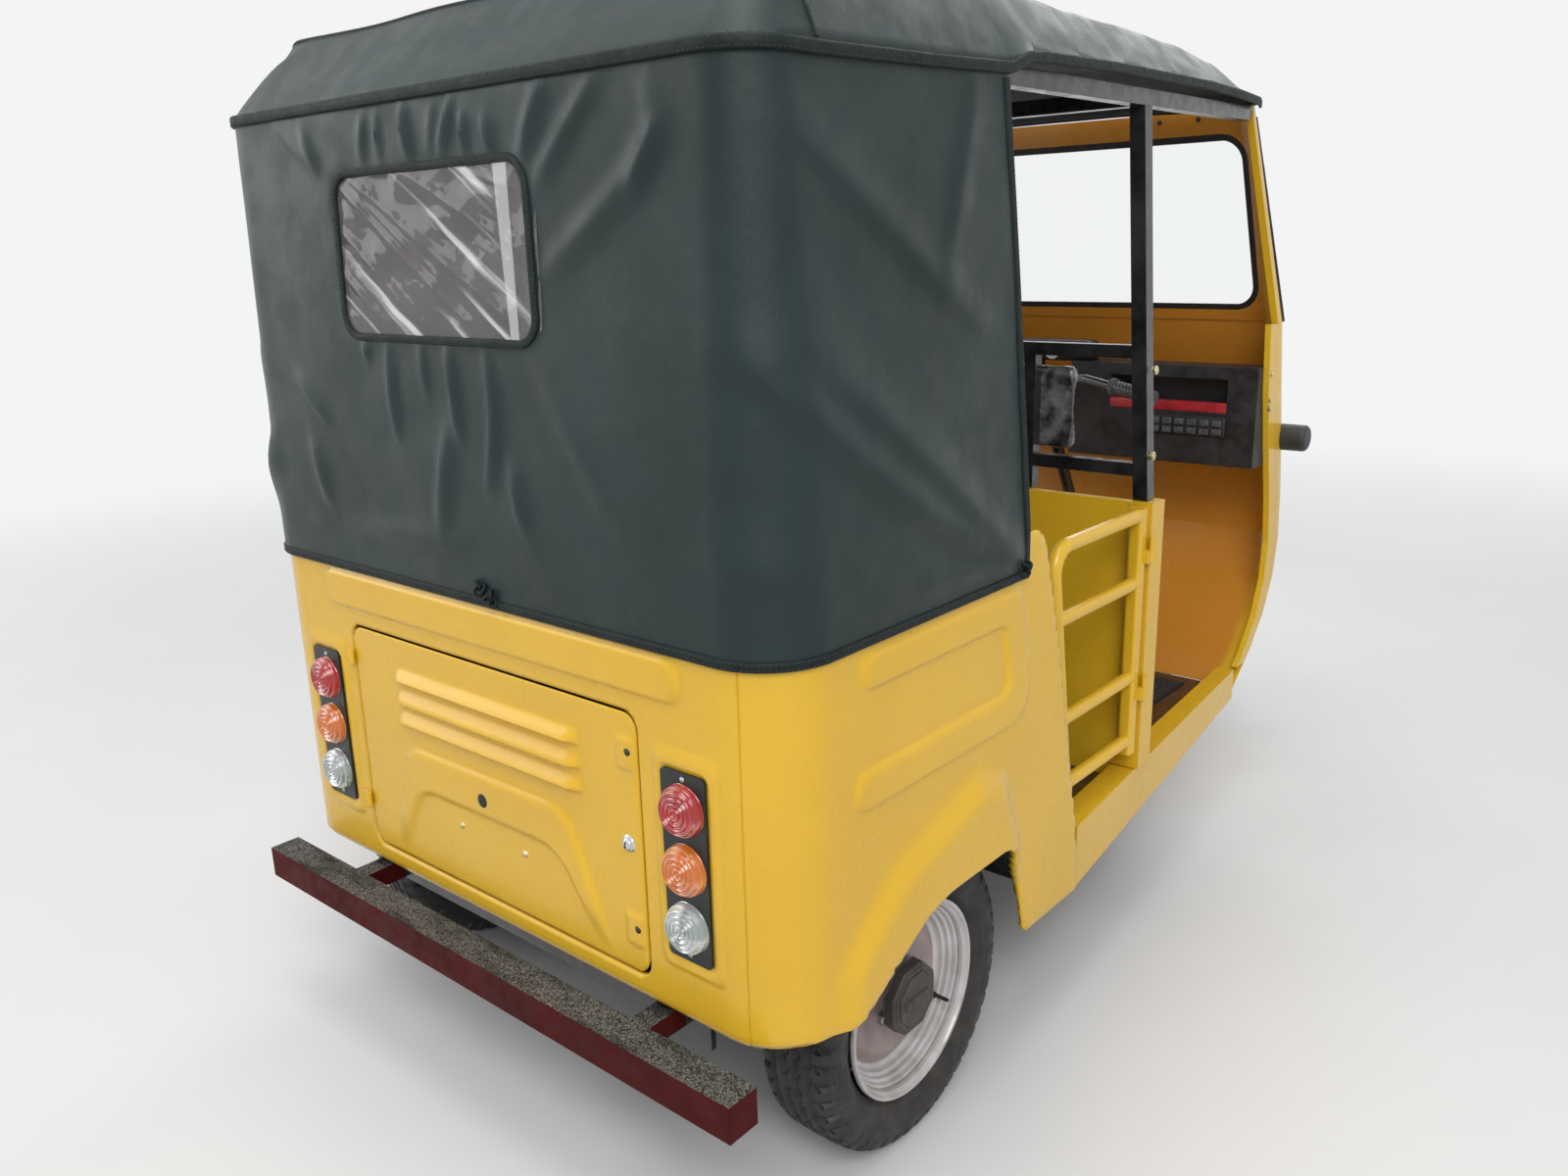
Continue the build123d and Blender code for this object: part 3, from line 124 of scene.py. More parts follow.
def finish(name, tones, gloss, patch=5, reliefs=(), edge=0.0012, dust=0.0, **sockets):
    """A finish whose colour and roughness wander between two values, with fine relief, edges rounded
    in the shading and dust that thickens towards the ground. Sockets are the shader's own numbers."""
    material = bpy.data.materials.new(name)
    material.use_nodes = True
    tree = material.node_tree
    shader = tree.nodes["Principled BSDF"]
    colour = blend_colour(tree, spread(tree, grain(tree, patch), 0, 1), (*tones[0], 1), (*tones[1], 1))
    if dust:
        low = spread(tree, along_axis(tree, resting_place(tree), "Z"), dust, 0, dust_low, dust_top)
        share = times(tree, low, spread(tree, grain(tree, 3 * patch, 6), 0.2, 1, 0.3, 0.7))
        colour = blend_colour(tree, share, colour, dust_colour)
    tree.links.new(colour, shader.inputs["Base Color"])
    tree.links.new(spread(tree, grain(tree, 4 * patch, 5), *gloss), shader.inputs["Roughness"])
    normal = add(tree, "Bevel", {"Radius": edge}, samples=4).outputs["Normal"]
    for scale, depth in reliefs:
        normal = relief(tree, grain(tree, scale, 2), depth, normal)
    tree.links.new(normal, shader.inputs["Normal"])
    for socket, value in sockets.items():
        shader.inputs[socket.replace("_", " ")].default_value = value
    return material


def dress(node, material):
    """Gives a carried-over node its finish."""
    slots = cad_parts[node].data.materials
    slots.clear()
    slots.append(material)


black_enamel = finish(
    "black_enamel", ((0.008, 0.008, 0.009), (0.02, 0.02, 0.022)), (0.22, 0.4), 9,
    [(260, 0.00008)], dust=0.5, Coat_Weight=0.35, Coat_Roughness=0.18,
)
for node in (
    "chassis_frame", "leaf_springs", "rear_axle", "fork", "handlebar", "roof_frame", "b_posts",
    "partition_frame", "wheel_arches", "floor_pan",
):
    dress(node, black_enamel)

# Drive motor and battery: the motor is a ribbed grey casting beside the gearbox, the battery a
# black plastic case strapped under the bench; both are only glimpsed from below.
dress("drive_motor", finish(
    "motor_grey", ((0.10, 0.10, 0.11), (0.19, 0.19, 0.20)), (0.45, 0.65), 12, [(420, 0.0006)],
    dust=0.6, Metallic=0.6,
))
case_black = finish(
    "case_black", ((0.02, 0.02, 0.022), (0.035, 0.035, 0.04)), (0.5, 0.65), 10, [(700, 0.0003)], dust=0.4,
)
dress("battery_box", case_black)

# Tyres: black road tyres with four tread ribs, cut by zigzag grooves, and shoulder blocks that run
# down the side. They are moulded in rubber, with rings on the sidewall and the lettering left bare.
tyre_turns = 288
tread_blocks = 48
# Tyre section, columns: share of half the tyre's width, share of the way from bead to tread
tyre_shares = [
    (0.70, 0.00), (0.74, 0.06), (0.84, 0.14), (0.93, 0.28), (0.99, 0.45), (1.0, 0.56), (0.985, 0.68),
    (0.95, 0.78), (0.90, 0.86), (0.84, 0.925), (0.74, 0.965), (0.6, 0.985), (0.4, 0.995), (0.2, 1.0),
    (0.0, 1.0),
]
section_steps = 34
groove_shares = [0.16, 0.5]
groove_half_width, groove_edge, groove_depth = 0.0036, 0.002, 0.007
zigzag_swing = 0.0025
slot_depth = 0.008
slot_share = 0.3
slot_lean = 0.35
side_ring_shares, side_ring_rise = (0.3, 0.5), 0.0012
bead_radius = 0.1676


def along(table, count):
    """Points evenly spaced along a line through a table, its corners rounded."""
    points = np.array(table, float)
    for _ in range(2):
        first, second = points[:-1], points[1:]
        cut = np.stack([0.75 * first + 0.25 * second, 0.25 * first + 0.75 * second], 1)
        points = np.concatenate([points[:1], cut.reshape(-1, points.shape[1]), points[-1:]])
    reach = np.concatenate([[0], np.cumsum(np.linalg.norm(np.diff(points, axis=0), axis=1))])
    even = np.linspace(0, reach[-1], count)
    return np.stack([np.interp(even, reach, points[:, k]) for k in range(points.shape[1])], 1)


def mesh_piece(name, vertices, faces, material, smooth=True):
    """A piece from its vertices and faces."""
    mesh = bpy.data.meshes.new(name)
    mesh.from_pydata([tuple(v) for v in vertices], [], [tuple(f) for f in faces])
    mesh.polygons.foreach_set("use_smooth", [smooth] * len(mesh.polygons))
    mesh.update()
    piece = bpy.data.objects.new(name, mesh)
    bpy.context.scene.collection.objects.link(piece)
    piece.data.materials.append(material)
    return piece


def grid_faces(rows, columns, round_rows=False, round_columns=False):
    """The quads of a grid of vertices, joined up at its ends where it is round."""
    i, j = np.meshgrid(
        np.arange(rows if round_rows else rows - 1), np.arange(columns if round_columns else columns - 1),
        indexing="ij",
    )
    i, j, k, m = i.ravel(), j.ravel(), (i.ravel() + 1) % rows, (j.ravel() + 1) % columns
    return np.stack([i * columns + j, k * columns + j, k * columns + m, i * columns + m], 1)


def smoothly(value):
    """Goes from 0 to 1 softly as value does."""
    value = np.clip(value, 0, 1)
    return value * value * (3 - 2 * value)


def crease_by_angle(piece, degrees=35):
    """Edges sharper than the angle stay sharp in the shading."""
    piece.data.set_sharp_from_angle(angle=radians(degrees))


def turns(count):
    """Angles evenly spaced round a circle."""
    return np.arange(count) * 2 * pi / count


def fit(piece, body, node=None):
    """Hides the node that a piece stands for and hangs the piece on the body that it rides on."""
    if node:
        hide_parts(node)
    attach(piece, body)
    return piece


tyre_rubber = finish(
    "tyre_rubber", ((0.006, 0.006, 0.006), (0.014, 0.013, 0.013)), (0.5, 0.75), 8,
    [(500, 0.0004)], dust=0.14,
)
tyre_low, tyre_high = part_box("rear_tyre_left")
tyre_radius = (tyre_high.z - tyre_low.z) / 2
tyre_half_width = (tyre_high.x - tyre_low.x) / 2


def tyre(name, node, body):
    """One tyre, turned about its axle, its grooves and slots pressed into the tread."""
    low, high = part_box(node)
    centre = (low + high) / 2
    half = [(w * tyre_half_width, bead_radius + r * (tyre_radius - bead_radius)) for w, r in tyre_shares]
    side = along(half, section_steps)
    section = np.concatenate([side, np.stack([-side[::-1, 0], side[::-1, 1]], 1)[1:]])
    angle = np.broadcast_to(turns(tyre_turns), (len(section), tyre_turns))
    out = np.broadcast_to(section[:, :1], angle.shape).copy()
    radius = np.broadcast_to(section[:, 1:], angle.shape).copy()
    phase = angle * tread_blocks / (2 * pi)
    zigzag = zigzag_swing * (2 * np.abs((phase % 1) * 2 - 1) - 1)
    share = (radius - bead_radius) / (tyre_radius - bead_radius)
    worn = smoothly((share - 0.93) / 0.03)
    for place in groove_shares:
        for hand in (-1, 1):
            gap = np.abs(out - hand * place * tyre_half_width - zigzag)
            radius -= worn * groove_depth * (1 - smoothly((gap - groove_half_width) / groove_edge))
    lean = slot_lean * np.abs(out) / tyre_half_width
    slot = np.abs(((phase + lean) % 1) - 0.5) < slot_share / 2
    shoulder = smoothly((np.abs(out) / tyre_half_width - 0.55) / 0.05) * smoothly((share - 0.68) / 0.05)
    depth = slot_depth * shoulder * slot
    radius -= depth * worn
    out -= np.sign(out) * depth * (1 - worn)
    for ring in side_ring_shares:
        out += np.sign(out) * side_ring_rise * np.exp(-((share - ring) / 0.02) ** 2) * (share < 0.9)
    points = np.stack(
        [centre.x + out, centre.y + radius * np.cos(angle), centre.z + radius * np.sin(angle)], -1
    ).reshape(-1, 3)
    piece = mesh_piece(name, points, grid_faces(len(section), tyre_turns, round_columns=True), tyre_rubber)
    crease_by_angle(piece)
    return fit(piece, body, node)


for name, node, body in (
    ("tyre_rear_left", "rear_tyre_left", "rear_wheel_left"),
    ("tyre_rear_right", "rear_tyre_right", "rear_wheel_right"),
    ("tyre_front", "front_tyre", "front_wheel"),
):
    tyre(name, node, body)

# Rims: rolled steel wheels in silver-white paint, with steps from the lip down to the well. Each has a
# shallow pressed disc, darker and pinkish grey as painted shade with a painted reddish reflection, four
# nuts, and a rubber valve that stands in the well.
rim_turns = 120
# Rim section from the outer lip to the hub and back along the inside, columns: outwards, radius, mm
rim_profile = [
    (56, 166), (58.5, 164.5), (58, 160), (52, 157.5), (50, 153.5), (42, 152), (40, 147), (33, 145.5),
    (31, 140.5), (24, 139), (21.5, 134), (13, 132.5), (9, 129), (8.5, 124), (13, 116), (20, 106), (21, 98),
    (15, 86), (12, 70), (12, 40), (36, 36), (36, 16), (-56, 16), (-56, 33), (6, 40), (6, 70), (9, 86),
    (15, 98), (14, 106), (7, 115), (3, 125), (-30, 126), (-34, 145), (-50, 148), (-52, 164), (-58, 165),
    (-57, 166), (-51, 166), (-49, 150), (-30, 148), (-26, 130), (2, 129), (10, 135), (20, 137), (23, 142),
    (30, 143.5), (33, 148.5), (40, 150), (47, 155), (49, 159), (52, 166),
]
disc_face, disc_radius = 0.012, 0.122
nut_circle, nut_radius, nut_depth = 0.05, 0.0095, 0.012
valve_circle, valve_turn = 0.118, radians(-150)
# Valve, columns: radius, start and end of its foot and of its stem
valve_parts = [(0.0055, 0.004, 0.03), (0.0035, 0.028, 0.055)]


def about_axle(rings, angle, centre, hand):
    """Vertices of rings of (outwards, radius), turned about a wheel's axle."""
    x, y, z = centre
    return [(x + hand * out, y + r * cos(a), z + r * sin(a)) for out, r in rings for a in angle]


def ring_faces(count, sides, closed=False, flip=False):
    """Faces over a row of rings, capped at both ends unless the row closes on itself."""
    faces = [tuple(f) for f in grid_faces(count, sides, closed, True)]
    if not closed:
        faces += [tuple(range(sides))[::-1], tuple(range((count - 1) * sides, count * sides))]
    return [face[::-1] for face in faces] if flip else faces


def prism(sides, radius, start, end, centre, hand, small=0.85, phase=0.0):
    """Vertices and faces of a many-sided boss along X, its outer end slightly smaller."""
    rings = [(start, radius), (start + (end - start) * 0.8, radius), (end, radius * small)]
    return about_axle(rings, turns(sides) + phase, centre, hand), ring_faces(3, sides)


def joined(parts):
    """Vertices and faces of several forms as one list."""
    vertices, faces = [], []
    for some, joins in parts:
        start = len(vertices)
        vertices += [tuple(v) for v in some]
        faces += [tuple(start + int(k) for k in f) for f in joins]
    return vertices, faces


rim_paint = finish(
    "rim_paint", ((0.50, 0.47, 0.47), (0.62, 0.60, 0.60)), (0.3, 0.48), 10, [(350, 0.0003)],
    dust=0.45, Metallic=0.25, Coat_Weight=0.2, Coat_Roughness=0.2,
)
# The disc's darker, pinkish grey is painted shade of the deep disc, with a painted reddish reflection.
shaded_disc_paint = finish(
    "shaded_disc_paint", ((0.27, 0.205, 0.20), (0.36, 0.28, 0.275)), (0.4, 0.55), 14, [(350, 0.0003)], dust=0.45,
)
nut_steel = finish(
    "nut_steel", ((0.32, 0.31, 0.30), (0.5, 0.48, 0.46)), (0.3, 0.5), 60, dust=0.4, Metallic=0.9,
)
for name, node, body, hand in (
    ("rim_rear_left", "rear_rim_left", "rear_wheel_left", 1),
    ("rim_rear_right", "rear_rim_right", "rear_wheel_right", -1),
    ("rim_front", "front_rim", "front_wheel", 1),
):
    low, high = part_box(node)
    centre = (low + high) / 2
    rings = [(out / 1000, radius / 1000) for out, radius in rim_profile]
    vertices = about_axle(rings, turns(rim_turns), centre, hand)
    piece = mesh_piece(name, vertices, ring_faces(len(rings), rim_turns, closed=True), rim_paint)
    crease_by_angle(piece, 50)
    piece.data.materials.append(shaded_disc_paint)
    for face in piece.data.polygons:
        from_axle = Vector((0, face.center.y - centre.y, face.center.z - centre.z)).length
        face.material_index = int(from_axle < disc_radius)
    fit(piece, body, node)
    nuts = [
        prism(6, nut_radius, disc_face, disc_face + nut_depth, at, hand)
        for at in about_axle([(0, nut_circle)], turns(4) + pi / 4, centre, hand)
    ]
    fit(mesh_piece(name.replace("rim", "nuts"), *joined(nuts), nut_steel, False), body)
    at = about_axle([(0, valve_circle)], [valve_turn], centre, hand)[0]
    valve = [prism(12, *sizes, at, hand) for sizes in valve_parts]
    piece = mesh_piece(name.replace("rim", "valve"), *joined(valve), tyre_rubber)
    crease_by_angle(piece)
    fit(piece, body)

# Hub caps: dark octagonal covers with a raised bar across the middle, pressed over each rear hub.
cap_radius, cap_top_radius = 0.062, 0.04836
cap_start, cap_end, cap_top_rise = 0.026, 0.048, 0.002
cap_bar_half, cap_bar_wide, cap_bar_rise = 0.034, 0.011, 0.005
cap_dark = finish(
    "cap_dark", ((0.018, 0.014, 0.013), (0.035, 0.028, 0.026)), (0.4, 0.6), 20, [(300, 0.0005)], dust=0.3,
)


def bevelled(piece, width, segments=2):
    """Rounds a piece's sharp edges."""
    rounding = piece.modifiers.new("rounding", "BEVEL")
    rounding.width, rounding.segments, rounding.limit_method = width, segments, "ANGLE"
    return piece


for name, node, body, hand in (
    ("hub_cap_left", "rear_hub_cap_left", "rear_wheel_left", 1),
    ("hub_cap_right", "rear_hub_cap_right", "rear_wheel_right", -1),
):
    low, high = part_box(node)
    inner_face = low.x if hand > 0 else high.x
    hub = (inner_face - hand * cap_start, (low.y + high.y) / 2, (low.z + high.z) / 2)
    parts = [
        prism(8, cap_radius, cap_start, cap_end, hub, hand, 0.88, pi / 8),
        prism(8, cap_top_radius, cap_end - 0.004, cap_end + cap_top_rise, hub, hand, 0.94, pi / 8),
    ]
    rows = [(cap_end - 0.002, 1.0, cap_bar_wide), (cap_end + cap_bar_rise, 0.9, 0.7 * cap_bar_wide)]
    corners = [
        (hub[0] + hand * x, hub[1] + a * cap_bar_half * long, hub[2] + b * wide)
        for x, long, wide in rows for a, b in ((-1, -1), (1, -1), (1, 1), (-1, 1))
    ]
    walls = [(0, 1, 5, 4), (1, 2, 6, 5), (2, 3, 7, 6), (3, 0, 4, 7), (4, 5, 6, 7), (3, 2, 1, 0)]
    parts.append((corners, walls))
    piece = bevelled(mesh_piece(name, *joined(parts), cap_dark, False), 0.0025)
    fit(piece, body, node)

# Rear bumper: a square steel bar across the tail, painted dark maroon. Its top is a worn tread strip,
# black paint rubbed through to gritty grey.
bumper_paint = finish(
    "bumper_paint", ((0.045, 0.0028, 0.0028), (0.066, 0.0045, 0.0045)), (0.45, 0.6), 10,
    [(220, 0.0002)], edge=0.003, dust=0.01, Specular_IOR_Level=0.08,
)
grit_dark, grit_pale, worn_black = (0.022, 0.020, 0.018, 1), (0.20, 0.195, 0.18, 1), (0.012, 0.011, 0.010, 1)


def opened(material):
    """A finish's tree, its shader's inputs, and the colour and shading direction that go into them."""
    tree = material.node_tree
    inputs = tree.nodes["Principled BSDF"].inputs
    return tree, inputs, inputs["Base Color"].links[0].from_socket, inputs["Normal"].links[0].from_socket


def facing(tree, axis):
    """How far a face is turned towards an axis, from -1 to 1."""
    return along_axis(tree, add(tree, "TexCoord").outputs["Normal"], axis)


tree, inputs, painted, normal = opened(bumper_paint)
on_top = spread(tree, facing(tree, "Z"), 0, 1, 0.6, 0.8)
flakes = add(tree, "TexVoronoi", {"Vector": resting_place(tree), "Scale": 520.0}, feature="F1")
speck = add(tree, "SeparateColor", {"Color": flakes.outputs["Color"]}).outputs["Red"]
grey = blend_colour(tree, spread(tree, speck, 0, 1, 0.1, 1.0), grit_dark, grit_pale)
black_patch = spread(tree, grain(tree, 22, 6, (0.35, 1, 1)), 0, 1, 0.48, 0.72)
grit = blend_colour(tree, black_patch, grey, worn_black)
tree.links.new(blend_colour(tree, on_top, painted, grit), inputs["Base Color"])
rubbed = times(tree, times(tree, grain(tree, 260, 6), speck), on_top)
tree.links.new(relief(tree, rubbed, 0.004, normal), inputs["Normal"])
dress("rear_bumper", bumper_paint)

# Rear body: one pressed tub of sheet steel in mustard yellow, wrapped round both rear corners. The
# panels carry long pressed bars, soft wheel arch flares and raised rings round the lamps.
flare_height, flare_shoulder = 0.02, 0.055
body_low, body_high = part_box("rear_body")
lamp_low, lamp_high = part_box("tail_lamp_plates")
body_half = body_high.x - flare_height
body_front, body_rear = body_low.y, lamp_low.y
corner = 0.110
sheet_thickness = 0.014
edge_roll = 0.006
cell, fine_cell, fine_reach = 0.0095, 0.0032, 0.010
door_gap, door_half, door_corner = 0.005, 0.360, 0.028
door_bottom, door_top = 0.386, 0.800
press_height, press_shoulder = 0.0075, 0.0075
bar_shares = (0.572, 0.66, 0.813, 0.893)
long_left, long_right, long_low, long_high = -0.455, 0.425, 0.832, 0.90
plate_inner, plate_outer = 0.411, 0.495
lamp_ring, ring_height, ring_shoulder = 0.026, 0.0045, 0.009
seam_place, seam_depth = 0.552, 0.0018

yellow_paint = finish(
    "yellow_paint", ((0.68, 0.402, 0.018), (0.71, 0.428, 0.022)), (0.24, 0.32), 3,
    [(420, 0.00012), (9, 0.0006)], edge=0.002, dust=0.04, Coat_Weight=0.22, Coat_Roughness=0.08,
    Specular_IOR_Level=0.4,
)


def rounded(points, radii, steps=9):
    """A closed outline through the points, each corner rounded by its own radius."""
    outline = []
    count = len(points)
    for k in range(count):
        before, here, after = (np.array(points[(k + step) % count], float) for step in (-1, 0, 1))
        if not radii[k]:
            outline.append(here)
            continue
        first = (before - here) / np.linalg.norm(before - here)
        second = (after - here) / np.linalg.norm(after - here)
        half_turn = np.arccos(np.clip(first @ second, -1, 1)) / 2
        reach = radii[k] / np.tan(half_turn)
        middle = here + (first + second) / np.linalg.norm(first + second) * radii[k] / np.sin(half_turn)
        begin, stop = here + first * reach, here + second * reach
        start = np.arctan2(*(begin - middle)[::-1])
        sweep = (np.arctan2(*(stop - middle)[::-1]) - start + pi) % (2 * pi) - pi
        for share in np.linspace(0, 1, steps):
            turn = start + share * sweep
            outline.append(middle + radii[k] * np.array([cos(turn), sin(turn)]))
    return np.array(outline)


def rectangle(left, right, low, high, radius, margin=0.0):
    """A rounded rectangle as an outline, with a margin all round."""
    left, right, low, high = left - margin, right + margin, low - margin, high + margin
    return rounded([(left, low), (right, low), (right, high), (left, high)], [radius] * 4)


def beyond(outline, a, b):
    """How far places (a, b) lie outside a closed outline; inside it is below zero."""
    place = np.stack([np.ravel(a), np.ravel(b)], -1)
    result = np.full(len(place), np.inf)
    inside = np.zeros(len(place), bool)
    for start, end in zip(outline, np.roll(outline, -1, 0)):
        edge = end - start
        offset = place - start
        share = np.clip(offset @ edge / max(edge @ edge, 1e-12), 0, 1)
        result = np.minimum(result, np.linalg.norm(offset - share[:, None] * edge, axis=1))
        spans = (start[1] > place[:, 1]) != (end[1] > place[:, 1])
        rise = edge[1] if abs(edge[1]) > 1e-12 else 1e-12
        inside ^= spans & (place[:, 0] < start[0] + (place[:, 1] - start[1]) * edge[0] / rise)
    return np.where(inside, -result, result).reshape(np.shape(a))


def pressed(distance, height=press_height, shoulder=press_shoulder):
    """A press that rises from its outline to its full height over one shoulder."""
    return height * smoothly(-distance / shoulder)


def rolled(cut, reach):
    """How far an edge is turned under, from 1 at the edge to 0 at its reach."""
    return 1 - np.sqrt(np.clip(1 - (1 - np.clip(-cut / reach, 0, 1)) ** 2, 0, 1))


def trimmed(name, points, distance, material, merge):
    """A sheet from a grid of points, cut off smoothly where distance is above zero. Corners closer
    together than merge become one."""
    mesh = bmesh.new()
    made = {}

    def corner_at(place):
        if place not in made:
            made[place] = mesh.verts.new(points[place])
        return made[place]

    def between(first, second):
        key = (min(first, second), max(first, second))
        if key not in made:
            share = distance[first] / (distance[first] - distance[second])
            made[key] = mesh.verts.new(points[first] + share * (points[second] - points[first]))
        return made[key]

    rows, columns = distance.shape
    for i in range(rows - 1):
        for j in range(columns - 1):
            ring = [(i, j), (i, j + 1), (i + 1, j + 1), (i + 1, j)]
            out = [distance[place] > 0 for place in ring]
            if all(out):
                continue
            face = []
            for k in range(4):
                if not out[k]:
                    face.append(corner_at(ring[k]))
                if out[k] != out[(k + 1) % 4]:
                    face.append(between(ring[k], ring[(k + 1) % 4]))
            if len(face) > 2:
                mesh.faces.new(face)
    bmesh.ops.remove_doubles(mesh, verts=mesh.verts, dist=merge)
    bmesh.ops.recalc_face_normals(mesh, faces=mesh.faces)
    for face in mesh.faces:
        face.smooth = True
    data = bpy.data.meshes.new(name)
    mesh.to_mesh(data)
    mesh.free()
    piece = bpy.data.objects.new(name, data)
    bpy.context.scene.collection.objects.link(piece)
    data.materials.append(material)
    return piece


def thicken(piece, thickness):
    """Gives a sheet its thickness, towards its inner side."""
    solid = piece.modifiers.new("thickness", "SOLIDIFY")
    solid.thickness, solid.offset, solid.use_rim = thickness, -1.0, True
    crease_by_angle(piece, 50)


def wrapped(reach, half, rear, radius):
    """Place and outward direction at a distance along a wall that wraps round both rear corners."""
    flat, arc = half - radius, radius * pi / 2
    past, hand = np.abs(reach), np.sign(reach)
    turn = np.clip((past - flat) / radius, 0, pi / 2)
    run = np.maximum(past - flat - arc, 0)
    x = hand * (np.minimum(past, flat) + radius * np.sin(turn))
    y = rear - radius + radius * np.cos(turn) - run
    return x, y, hand * np.sin(turn), np.cos(turn)


def side_outline(shares, radii):
    """An outline on the side panel from shares of its length from the front and of its height."""
    length, height = body_rear - body_front, body_high.z - body_low.z
    return rounded([(body_front + a * length, body_low.z + b * height) for a, b in shares], radii)


tub_outline = side_outline(
    [(1.2, 0.15), (0.834, 0.139), (0.60, 0.289), (0.328, 0.289), (0.268, 0.155), (0.24, 0.01), (0.19, 0.0),
     (0.0, 0.0), (0.02, 0.195), (0.133, 0.725), (0.205, 1.0), (1.2, 1.0)],
    [0, 0.06, 0.22, 0.055, 0.05, 0.018, 0.018, 0, 0.2, 0.2, 0.045, 0],
)
flare_outline = side_outline(
    [(0.90, -0.1), (0.88, 0.28), (0.72, 0.43), (0.44, 0.53), (0.33, 0.49), (0.262, 0.29), (0.25, -0.1)],
    [0, 0.09, 0.12, 0.07, 0.07, 0.06, 0],
)
low_a, low_b, high_a, high_b = bar_shares
bars_outline = side_outline(
    [(0.235, low_a), (0.82, low_a), (0.82, low_b), (0.335, low_b), (0.36, high_a), (0.80, high_a),
     (0.80, high_b), (0.295, high_b)],
    [0.06, 0.028, 0.028, 0.022, 0.018, 0.026, 0.026, 0.03],
)
long_press = rectangle(long_left, long_right, long_low, long_high, 0.028)
door_outline = rectangle(-door_half, door_half, door_bottom, door_top, door_corner, door_gap)


def graded(end, places):
    """Steps from 0 past the end, finer wherever one of the places is near."""
    steps = [0.0]
    while steps[-1] < end:
        near = np.abs(np.array(places) - steps[-1]).min() < fine_reach
        steps.append(steps[-1] + (fine_cell if near else cell))
    return np.array(steps)


side_start = body_half - corner + corner * pi / 2
reach_end = side_start + (body_rear - corner - body_front)
side_ends = side_start + body_rear - corner - bars_outline[:, 0]
lamp_sides = (plate_inner - lamp_ring, plate_inner, plate_outer, plate_outer + 0.8 * lamp_ring)
bar_ends = side_ends.max() - np.array([0, 0.075, 0.1])
reach = graded(reach_end, [side_ends.min(), *bar_ends, long_right, -long_left, door_half, *lamp_sides])
seam_columns = seam_place + np.array([-0.0016, -0.0006, 0.0006, 0.0016])
reach = np.unique(np.concatenate([reach, seam_columns]))
reach = np.concatenate([-reach[:0:-1], reach])
bar_heights = [body_low.z + share * (body_high.z - body_low.z) for share in bar_shares]
lamp_heights = [lamp_low.z - lamp_ring, lamp_low.z, lamp_high.z, lamp_high.z + 1.2 * lamp_ring]
levels = np.array([*bar_heights, *lamp_heights, long_low, long_high]) - body_low.z
level_z = body_low.z + graded(body_high.z - body_low.z, levels)
grid_reach, grid_z = np.meshgrid(reach, level_z, indexing="ij")
grid_x, grid_y, out_x, out_y = wrapped(grid_reach, body_half, body_rear, corner)
on_side = np.abs(out_x)
rear_only = np.where(on_side < 0.01, 1.0, 0.0)
cut = beyond(tub_outline, grid_y, grid_z)
raised = pressed(beyond(flare_outline, grid_y, grid_z), flare_height, flare_shoulder)
raised *= smoothly(on_side * 1.6 - 0.3)
raised += pressed(beyond(bars_outline, grid_y, grid_z)) * (on_side > 0.99)
raised += pressed(beyond(long_press, grid_x, grid_z)) * rear_only
for hand in (-1, 1):
    left, right = sorted((hand * plate_inner, hand * plate_outer))
    plate = rectangle(left, right, lamp_low.z, lamp_high.z, 0.01)
    ring = rectangle(left - lamp_ring, right + lamp_ring * 0.8, lamp_low.z - lamp_ring,
                     lamp_high.z + 1.2 * lamp_ring, 0.022)
    ring = np.maximum(beyond(ring, grid_x, grid_z), -beyond(plate, grid_x, grid_z))
    raised += pressed(ring, ring_height, ring_shoulder) * rear_only
raised -= seam_depth * (np.abs(grid_reach + seam_place) < 0.001)
raised -= edge_roll * rolled(cut, edge_roll)
cut = np.maximum(cut, np.where(on_side < 0.5, -beyond(door_outline, grid_x, grid_z), -1.0))
points = np.stack([grid_x + raised * out_x, grid_y + raised * out_y, grid_z], -1)
tub = trimmed("rear_body_panel", points, cut, yellow_paint, fine_cell * 0.15)
thicken(tub, sheet_thickness)
fit(tub, "body", "rear_body")

# Rear hatch: a flat pressed door in the same yellow, hinged on its left edge. It carries three scooped
# louvres, an arch-shaped field for the number plate, a rubber plug, two screws and a key lock.
hatch_cell = 0.004
louvre_half, louvre_end = 0.236, 0.022
louvre_tops, louvre_tall, louvre_lift = [0.753, 0.715, 0.677], 0.034, 0.014
field_height, field_shoulder = 0.0075, 0.016
latch_height, latch_shoulder = 0.0038, 0.006
hatch_edge_depth, hatch_edge_reach = 0.003, 0.004
field_outer = rounded([(0.36, 0.386), (0.292, 0.386), (0.226, 0.615), (-0.200, 0.618), (-0.300, 0.386),
                       (-0.36, 0.30), (0.36, 0.30)], [0, 0, 0.05, 0.07, 0, 0, 0])
field_inner = rounded([(0.256, 0.386), (0.186, 0.528), (-0.166, 0.530), (-0.262, 0.386), (-0.262, 0.30),
                       (0.256, 0.30)], [0, 0.06, 0.08, 0, 0, 0])
latch_places = [(-0.340, 0.738), (-0.340, 0.456)]
a_line = np.arange(-door_half, door_half + hatch_cell, hatch_cell)
b_line = np.arange(door_bottom, door_top + hatch_cell, hatch_cell)
a_grid, b_grid = np.meshgrid(a_line, b_line, indexing="ij")
raised = np.zeros_like(a_grid)
for top in louvre_tops:
    down = (top - b_grid) / louvre_tall
    end = np.clip((louvre_half - np.abs(a_grid)) / louvre_end, 0, 1)
    profile = smoothly(down / 0.72) * (1 - smoothly((down - 0.72) / 0.2))
    raised += louvre_lift * profile * np.sqrt(end) * (down > 0) * (down < 1)
band = np.maximum(beyond(field_outer, a_grid, b_grid), -beyond(field_inner, a_grid, b_grid))
low_fade = smoothly((b_grid - 0.395) / 0.08)
